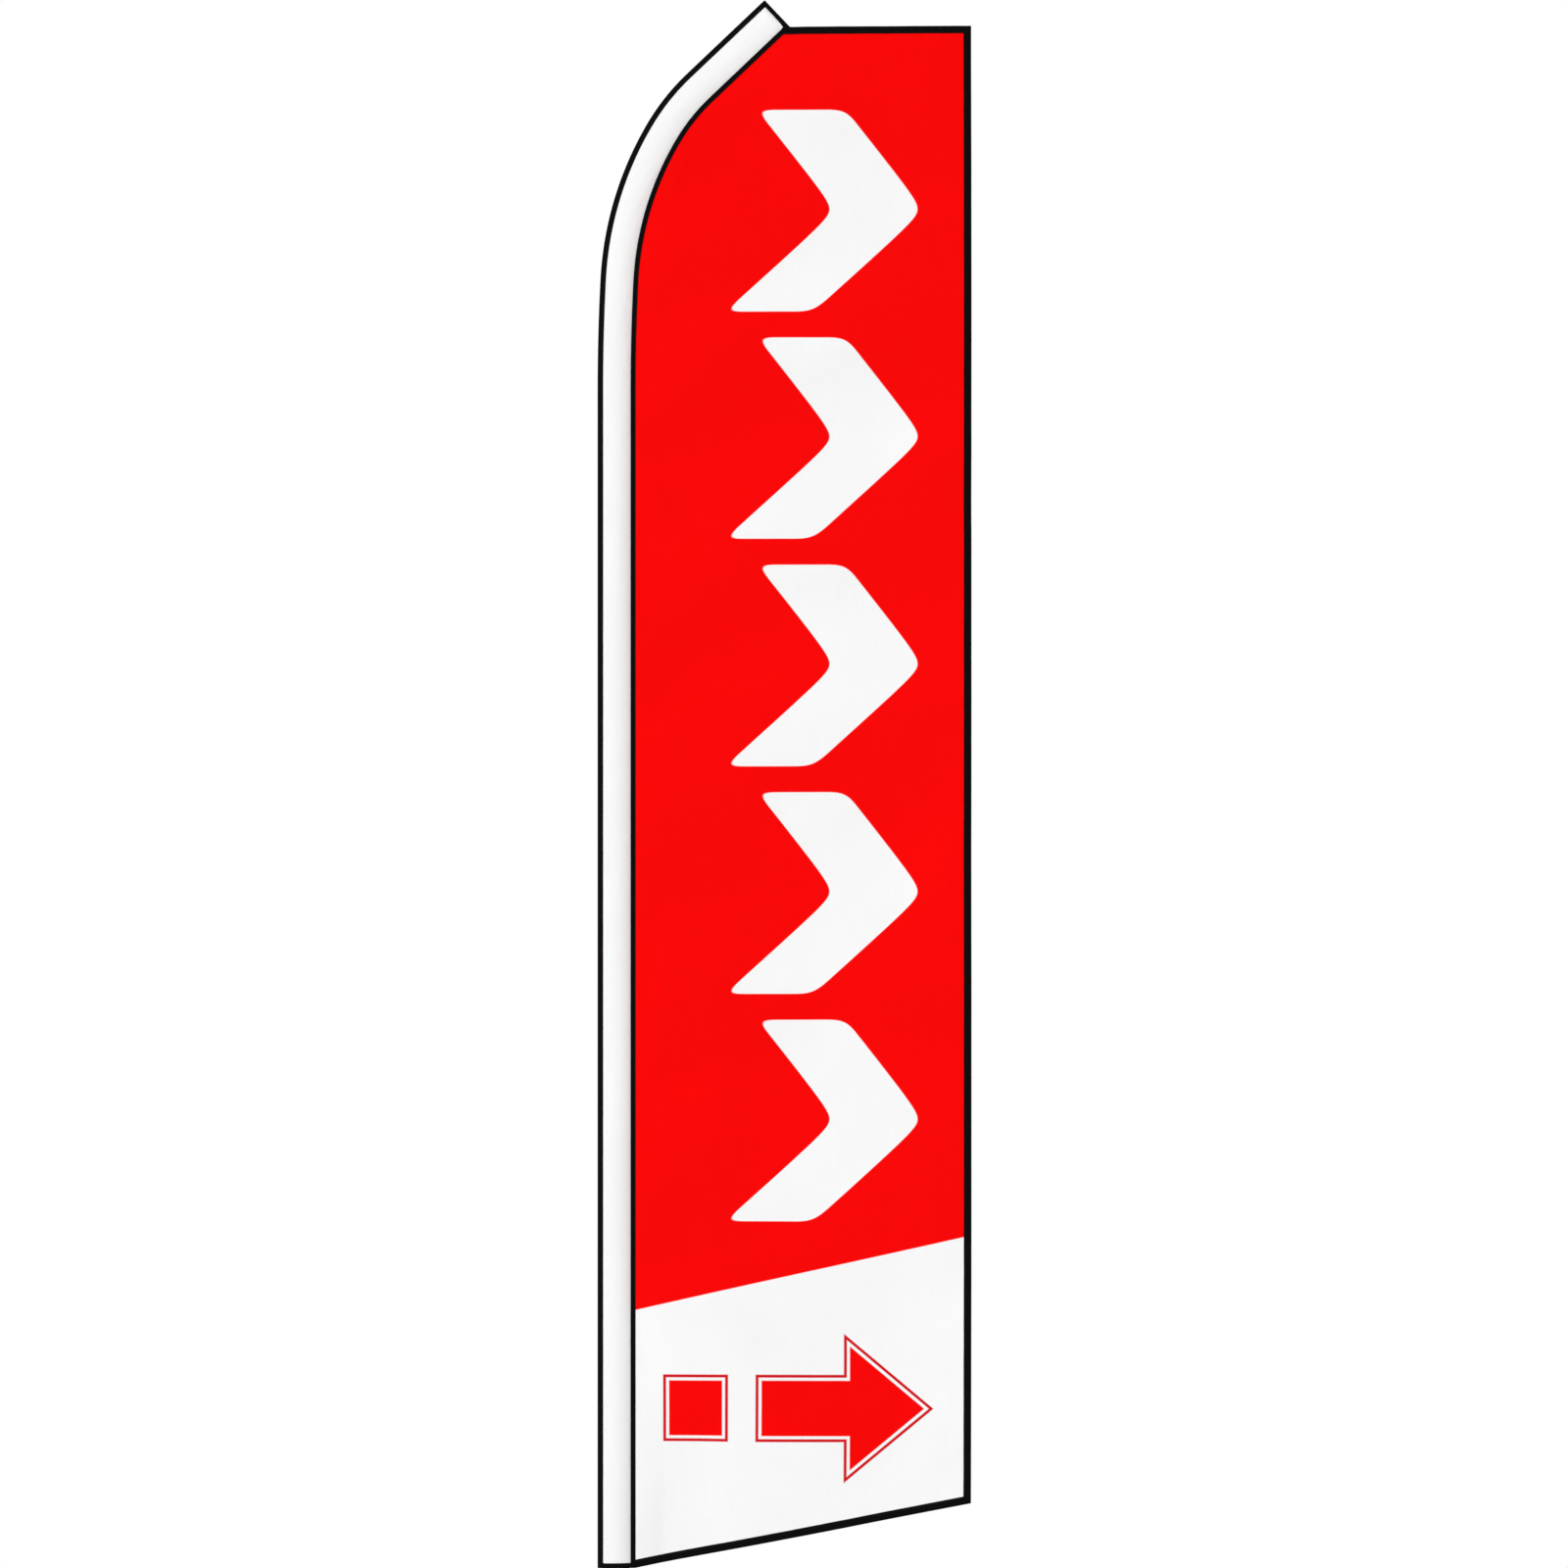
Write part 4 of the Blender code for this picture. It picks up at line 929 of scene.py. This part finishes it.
def arrow(mat, x, z):
    """A dash and a block arrow after it, for the white band at the foot."""
    local = minus(mat, z, ARROW_HEIGHT)
    dash = box_distance(mat, x, local, *DASH, BAR_HALF)
    shaft = box_distance(mat, x, local, *SHAFT, BAR_HALF)
    slope = HEAD_HALF / (HEAD_POINT - HEAD_START)
    rise = times(mat, minus(mat, x, HEAD_POINT), slope)
    wedge = plus(mat, sums(mat, "ABSOLUTE", local), rise)
    wedge = times(mat, wedge, 1.0 / math.hypot(1.0, slope))
    head = sums(mat, "MAXIMUM", wedge, minus(mat, HEAD_START, x))
    return sums(mat, "MINIMUM", dash, sums(mat, "MINIMUM", shaft, head))


def mixed(mat, share, first, second):
    """A blend of two colour links."""
    return node(mat, "Mix", {0: share, 6: first, 7: second}, data_type="RGBA").outputs[2]


def printed_knit(name, red, white):
    """The print, from each point's place on the flat cut."""
    mat = finish_of(name, red, 0.84, Specular_IOR_Level=0.05)
    x, z = on_the_cut(mat)
    red, white = flat_colour(mat, red), flat_colour(mat, white)
    slope = times(mat, minus(mat, x, SPLIT_START), SPLIT_SLOPE)
    over = minus(mat, plus(mat, slope, SPLIT_AT_SEAM), z)
    ground = mixed(mat, inside(mat, over), white, red)
    ground = mixed(mat, inside(mat, chevrons(mat, x, z)), ground, white)
    mark = arrow(mat, x, z)
    within = inside(mat, plus(mat, mark, PRINT_LINE))
    outline = minus(mat, inside(mat, mark), within)
    middle = inside(mat, plus(mat, mark, 2 * PRINT_LINE))
    ground = mixed(mat, middle, ground, red)
    ground = mixed(mat, outline, ground, flat_colour(mat, PRINT_CRIMSON))
    cloth_finish(mat, ground, x, z)
    return mat


front_print = printed_knit("printed_knit", PRINT_RED, PRINT_WHITE)
back_print = printed_knit("printed_knit_back", BACK_RED, BACK_WHITE)

COLUMNS = 90
ROWS = 400
PANEL_HALF = 0.00022
FLY_INSET = 0.006
HEM_INSET = 0.005
uu, vv = np.meshgrid(np.linspace(0.0, 1.0, COLUMNS + 1), np.linspace(0.0, 1.0, ROWS + 1))
uu = uu * (1.0 - FLY_INSET / (fly_x - seam_x))
low_v, high_v = HEM_INSET / top_z, 1.0 - HEM_INSET / top_z
vv = low_v + vv * (high_v - low_v)
middle_points = hung_point(uu, vv)
normals = hung_normal(uu, vv)
front = (middle_points - normals * PANEL_HALF).reshape(-1, 3)
back = (middle_points + normals * PANEL_HALF).reshape(-1, 3)
wide = COLUMNS + 1
per_side = len(front)
faces = grid_faces(ROWS, COLUMNS)
faces += [face[::-1] for face in grid_faces(ROWS, COLUMNS, per_side)]
rim = list(range(wide))
rim += [i * wide + COLUMNS for i in range(1, ROWS + 1)]
rim += [ROWS * wide + j for j in range(COLUMNS - 1, -1, -1)]
rim += [i * wide for i in range(ROWS - 1, 0, -1)]
for a, b in zip(rim, rim[1:] + rim[:1]):
    faces.append((a + per_side, b + per_side, b, a))
verts = np.concatenate([front, back])
banner = solid("banner_cloth", verts, faces, "tip_and_flag", front_print)
banner.data.materials.append(back_print)
for face in banner.data.polygons[ROWS * COLUMNS : 2 * ROWS * COLUMNS]:
    face.material_index = 1
flat = np.stack(cut_point(uu, vv), -1).reshape(-1, 2)
unwrap(banner, np.concatenate([flat, flat]))
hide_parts("banner_panel")

# ---------------------------- banner bindings
# The same black tape, folded over the banner's top, fly and slanted bottom edges. It is
# sewn through all three layers near its inner lip, which pulls the tape in along the row.

BINDING_HALF = 0.0011


def bound_edge(name, width, count, place):
    """Tape folded over an edge; place turns (share along, depth from the edge) to u, v."""
    outline = [(1.0 - t, -height) for t, height in TAPE_PROFILE]
    outline += [(1.0 - t, height) for t, height in TAPE_PROFILE[::-1]]
    share = np.linspace(0.0, 1.0, count + 1)[:, None]
    deep = np.array([t for t, side in outline])[None, :] * width
    lift = np.array([side for t, side in outline])[None, :, None] * BINDING_HALF
    wander = 0.00012 * np.sin(share * count * 0.5) * np.sin(share * count * 0.17)
    u, v = place(share, deep + wander * (deep > width / 2))
    points = hung_point(u, v) + hung_normal(u, v) * lift
    return lofted_tape(name, [list(map(tuple, section)) for section in points])


def height_at(u):
    """The cut's height at a share of its width."""
    return top_z - hem_rise_at_fly * u


def width_at(v):
    """The cut's width at a share of its height."""
    return fly_x - np.interp(top_z * v, seam_heights, seam_xs)


def near_top(share, deep):
    u = share + 0.0 * deep
    return u, 1.0 - deep / height_at(u)


def near_fly(share, deep):
    v = share * (1.0 - TOP_TAPE / height_at(1.0)) + 0.0 * deep
    return 1.0 - deep / width_at(v), v


def near_bottom(share, deep):
    u = share * (1.0 - FLY_TAPE / (fly_x - seam_x)) + 0.0 * deep
    return u, deep * math.hypot(1.0, hem_rise_at_fly / (fly_x - seam_x)) / height_at(u)


top_tape = bound_edge("top_tape", TOP_TAPE, 60, near_top)
fly_tape = bound_edge("fly_tape", FLY_TAPE, 420, near_fly)
bottom_tape = bound_edge("bottom_tape", BOTTOM_TAPE, 100, near_bottom)
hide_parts("top_binding")
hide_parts("fly_binding")
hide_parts("bottom_binding")

# ---------------------------- stitching
# Black polyester thread, four millimetres to a stitch: a row along each binding and the
# outer fold, and two along the seam. It shows on both sides, each stitch sunk at its ends.

STITCH = 0.004
THREAD_HALF = 0.00032
THREAD_RISE = 0.00042
THREAD_SINK = 0.0001
ROW_SHARE = 0.78
SEAM_ROWS = (0.14, 0.86)


def spun_thread():
    mat = finish_of("spun_thread", (0.022, 0.022, 0.023), 0.55, Specular_IOR_Level=0.4)
    strand = speckle(mat, place_on(mat), 3000.0)
    clouded(mat, strand, (0.016, 0.016, 0.017), (0.034, 0.034, 0.036))
    drive(mat, "Roughness", spread(mat, strand, 0.45, 0.65))
    return mat


thread = spun_thread()


def between(at, run, row):
    """A row's value at a length along it."""
    return np.array([np.interp(at, run, row[:, i]) for i in range(3)])


def stitched(name, rows):
    """One piece of thread for several rows, each a line of points and of outward normals."""
    verts, faces = [], []
    for points, normals in rows:
        points, normals = np.asarray(points, float), np.asarray(normals, float)
        run = np.concatenate([[0.0], np.cumsum(np.linalg.norm(np.diff(points, axis=0), axis=1))])
        for k in range(int(run[-1] / STITCH)):
            a, b, c = (between(STITCH * (k + part), run, points) for part in (0.1, 0.5, 0.9))
            n = between(STITCH * (k + 0.5), run, normals)
            side = np.cross(c - a, n)
            side *= THREAD_HALF / np.linalg.norm(side)
            first = len(verts)
            verts += [a - n * THREAD_SINK, b + side, b + n * THREAD_RISE]
            verts += [b - side, b - n * 2 * THREAD_SINK, c - n * THREAD_SINK]
            for p, q in ((1, 2), (2, 3), (3, 4), (4, 1)):
                faces.append((first, first + p, first + q))
                faces.append((first + 5, first + q, first + p))
    return solid(name, verts, faces, "tip_and_flag", thread)


def edge_rows(place, width, count):
    """Both sides' rows along a bound edge."""
    share = np.linspace(0.004, 0.996, count)
    u, v = place(share, np.full(count, width * ROW_SHARE))
    points, normals = hung_point(u, v), hung_normal(u, v)
    return [(points + side * 0.00085 * normals, side * normals) for side in (-1.0, 1.0)]


def sleeve_rows(place):
    """Both sides' rows along the sleeve; place gives across and depth at a station."""
    rows = []
    for side in (-1.0, 1.0):
        found = [(s, *place(s, side)) for s in along_the_pole(0.012, tape_end - 0.002)]
        points = [beside(s, across, depth) for s, across, depth in found]
        rows.append((points, [(0.0, side, 0.0)] * len(points)))
    return rows


def edge_lip(station, side):
    reach = math.acos(EDGE_TAPE_LIP / SLEEVE_NOSE) * 0.86
    return sleeve_point(station, math.pi - side * reach, 0.0013)


def seam_row(share):
    return lambda station, side: (seam_tape_low + seam_tape_wide * share, side * 0.0009)


rows = edge_rows(near_top, TOP_TAPE, 120)
rows += edge_rows(near_fly, FLY_TAPE, 840)
rows += edge_rows(near_bottom, BOTTOM_TAPE, 200)
banner_stitches = stitched("binding_stitches", rows)
rows = []
for place in (seam_row(SEAM_ROWS[0]), seam_row(SEAM_ROWS[1]), edge_lip):
    rows += sleeve_rows(place)
sleeve_stitches = stitched("sleeve_stitches", rows)

# ---------------------------- tie tab and eyelet
# A short loop of webbing sewn under the sleeve's mouth with a rolled brass eyelet in it,
# where a cord would hold the banner down to the hook on the pole.

EYE_HOLE = 0.0040
EYE_BORE = 0.0024
EYE_ROLL = 0.0007
tab_low, tab_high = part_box("tie_tab")
eye_low, eye_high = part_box("tie_eyelet")
eye_centre = (eye_low + eye_high) / 2
tab_middle = (tab_low.x + tab_high.x) / 2
tab_half = (tab_high.x - tab_low.x) / 2 - 0.0002


def tab_outline():
    """Webbing with a rounded end, from above the mouth tape's edge down round the eyelet."""
    centre = tab_low.z + tab_half + 0.0002
    points = [(tab_middle - tab_half, tab_high.z), (tab_middle + tab_half, tab_high.z)]
    for i in range(17):
        angle = math.pi * i / 16
        points.append((tab_middle + tab_half * math.cos(angle), centre - tab_half * math.sin(angle)))
    return points


def flat_spline(curve, points):
    spline = curve.splines.new("POLY")
    spline.use_cyclic_u = True
    spline.points.add(len(points) - 1)
    for place, (x, z) in zip(spline.points, points):
        place.co = (x, z, 0.0, 1.0)


curve = bpy.data.curves.new("webbing", "CURVE")
curve.dimensions = "2D"
curve.fill_mode = "BOTH"
curve.extrude = 0.0005
curve.bevel_depth = 0.0004
curve.bevel_resolution = 2
curve.offset = -0.0004
flat_spline(curve, tab_outline())
hole = []
for i in range(32):
    angle = -math.pi * i / 16
    hole.append((eye_centre.x + EYE_HOLE * math.cos(angle), eye_centre.z + EYE_HOLE * math.sin(angle)))
flat_spline(curve, hole)
drawing = bpy.data.objects.new("webbing", curve)
bpy.context.collection.objects.link(drawing)
drawing.rotation_euler.x = math.pi / 2
bpy.context.view_layer.update()
shape = bpy.data.meshes.new_from_object(drawing.evaluated_get(bpy.context.evaluated_depsgraph_get()))
shape.transform(drawing.matrix_world)
bpy.data.objects.remove(drawing)
webbing = bpy.data.objects.new("tie_webbing", shape)
bpy.context.collection.objects.link(webbing)
shape.materials.clear()
shape.materials.append(tape)
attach(webbing, "tip_and_flag")
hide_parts("tie_tab")

half_depth = (eye_high.y - eye_low.y) / 2
flange = (eye_high.x - eye_low.x) / 2
rolled = []
for i in range(9):
    bow = math.pi * i / 8
    radius = EYE_BORE + (flange - EYE_BORE) * (1 - math.cos(bow)) / 2
    rolled.append((radius, half_depth - EYE_ROLL + EYE_ROLL * math.sin(bow)))
rolled += [(flange - 0.0004, half_depth - 0.0008), (0.0037, half_depth - 0.0009)]
rolled += [(radius, -z) for radius, z in rolled[::-1]]
upright = Matrix.Rotation(math.radians(90), 3, "X")
eyelet = lathed("rolled_eyelet", rolled, 40, brass, eye_centre, upright)
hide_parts("tie_eyelet")

# ---------------------------- cloth facts
# The sleeve is cut from one strip and folded in half lengthwise. The banner is cut as one
# piece with a curved side, where it is sewn to the sleeve, and a slanted bottom.

banner_area = float(np.trapz(width_at(np.linspace(0, 1, 400)), dx=top_z / 399))
banner_area -= hem_rise_at_fly * (fly_x - seam_x) / 2

# ---------------------------- studio
# A pale round floor at the spike's point, even light with bright upright panels for metal to
# mirror, a broad soft lamp from the upper left with a weaker one opposite, and a camera with
# a long lens that stands level with the banner's middle.

FLOOR_RADIUS = 20.0
FLOOR_FADE = (2.5, 8.0)
LIGHTING = 0.62
STRIPES_ROUND = 3.0
LENS = 300.0
SENSOR = 36.0

low, high = cad_box
floor_mesh = bpy.data.meshes.new("floor")
bm = bmesh.new()
bmesh.ops.create_circle(bm, cap_ends=True, segments=96, radius=FLOOR_RADIUS)
bm.to_mesh(floor_mesh)
bm.free()
floor = bpy.data.objects.new("floor", floor_mesh)
floor.location = ((low.x + high.x) / 2, 0.0, low.z - 0.001)
bpy.context.collection.objects.link(floor)
floor_paint = finish_of("floor_paint", (0.90, 0.90, 0.90), 0.8, Specular_IOR_Level=0.1)
away = node(floor_paint, "VectorMath", {0: place_on(floor_paint)}, operation="LENGTH")
share = spread(floor_paint, away.outputs["Value"], 0.0, 1.0, *FLOOR_FADE)
shader_nodes = floor_paint.node_tree.nodes
painted = shader_nodes["Principled BSDF"].outputs[0]
glow = node(floor_paint, "Emission").outputs[0]
fade = node(floor_paint, "MixShader", {0: share, 1: painted, 2: glow}).outputs[0]
floor_paint.node_tree.links.new(fade, shader_nodes["Material Output"].inputs["Surface"])
floor_mesh.materials.append(floor_paint)

scene = bpy.context.scene
world = bpy.data.worlds.new("studio")
scene.world = world
world.use_nodes = True
seen = world.node_tree.nodes["Background"]
seen.inputs["Strength"].default_value = 1.0
seen.inputs["Color"].default_value = (1.0, 1.0, 1.0, 1.0)
way = node(world, "SeparateXYZ", {0: node(world, "TexCoord").outputs["Generated"]})
turn = sums(world, "ARCTAN2", way.outputs[0], way.outputs[1])
wave = sums(world, "SINE", times(world, turn, STRIPES_ROUND))
inputs = {"Value": wave, "From Min": -0.5, "From Max": 0.6, "To Min": 0.10, "To Max": 0.95}
stripes = node(world, "MapRange", inputs, interpolation_type="SMOOTHSTEP").outputs[0]
mirrored = node(world, "Background", {"Strength": stripes}).outputs[0]
lighting = node(world, "Background", {"Strength": LIGHTING}).outputs[0]
rays = node(world, "LightPath")
lit = node(world, "MixShader", {0: rays.outputs["Is Glossy Ray"], 1: lighting, 2: mirrored})
inputs = {0: rays.outputs["Is Camera Ray"], 1: lit.outputs[0], 2: seen.outputs[0]}
room = node(world, "MixShader", inputs).outputs[0]
world.node_tree.links.new(room, world.node_tree.nodes["World Output"].inputs["Surface"])

for name, direction, strength, spread_angle in (
    ("key", Vector((0.38, 0.80, -0.50)), 1.7, 22.0),
    ("fill", Vector((-0.6, -0.7, -0.35)), 0.8, 40.0),
):
    lamp_data = bpy.data.lights.new(name, "SUN")
    lamp_data.energy = strength
    lamp_data.angle = math.radians(spread_angle)
    lamp = bpy.data.objects.new(name, lamp_data)
    lamp.rotation_euler = direction.to_track_quat("-Z", "Y").to_euler()
    bpy.context.collection.objects.link(lamp)

view_height = high.z - mouth
camera_data = bpy.data.cameras.new("camera")
camera_data.lens = LENS
camera_data.sensor_width = SENSOR
camera_data.clip_end = 200.0
camera = bpy.data.objects.new("camera", camera_data)
camera.location = ((low.x + high.x) / 2, -view_height * LENS / SENSOR, mouth + view_height / 2)
camera.rotation_euler = (math.pi / 2, 0.0, 0.0)
bpy.context.collection.objects.link(camera)
scene.camera = camera
scene.view_settings.view_transform = "Standard"
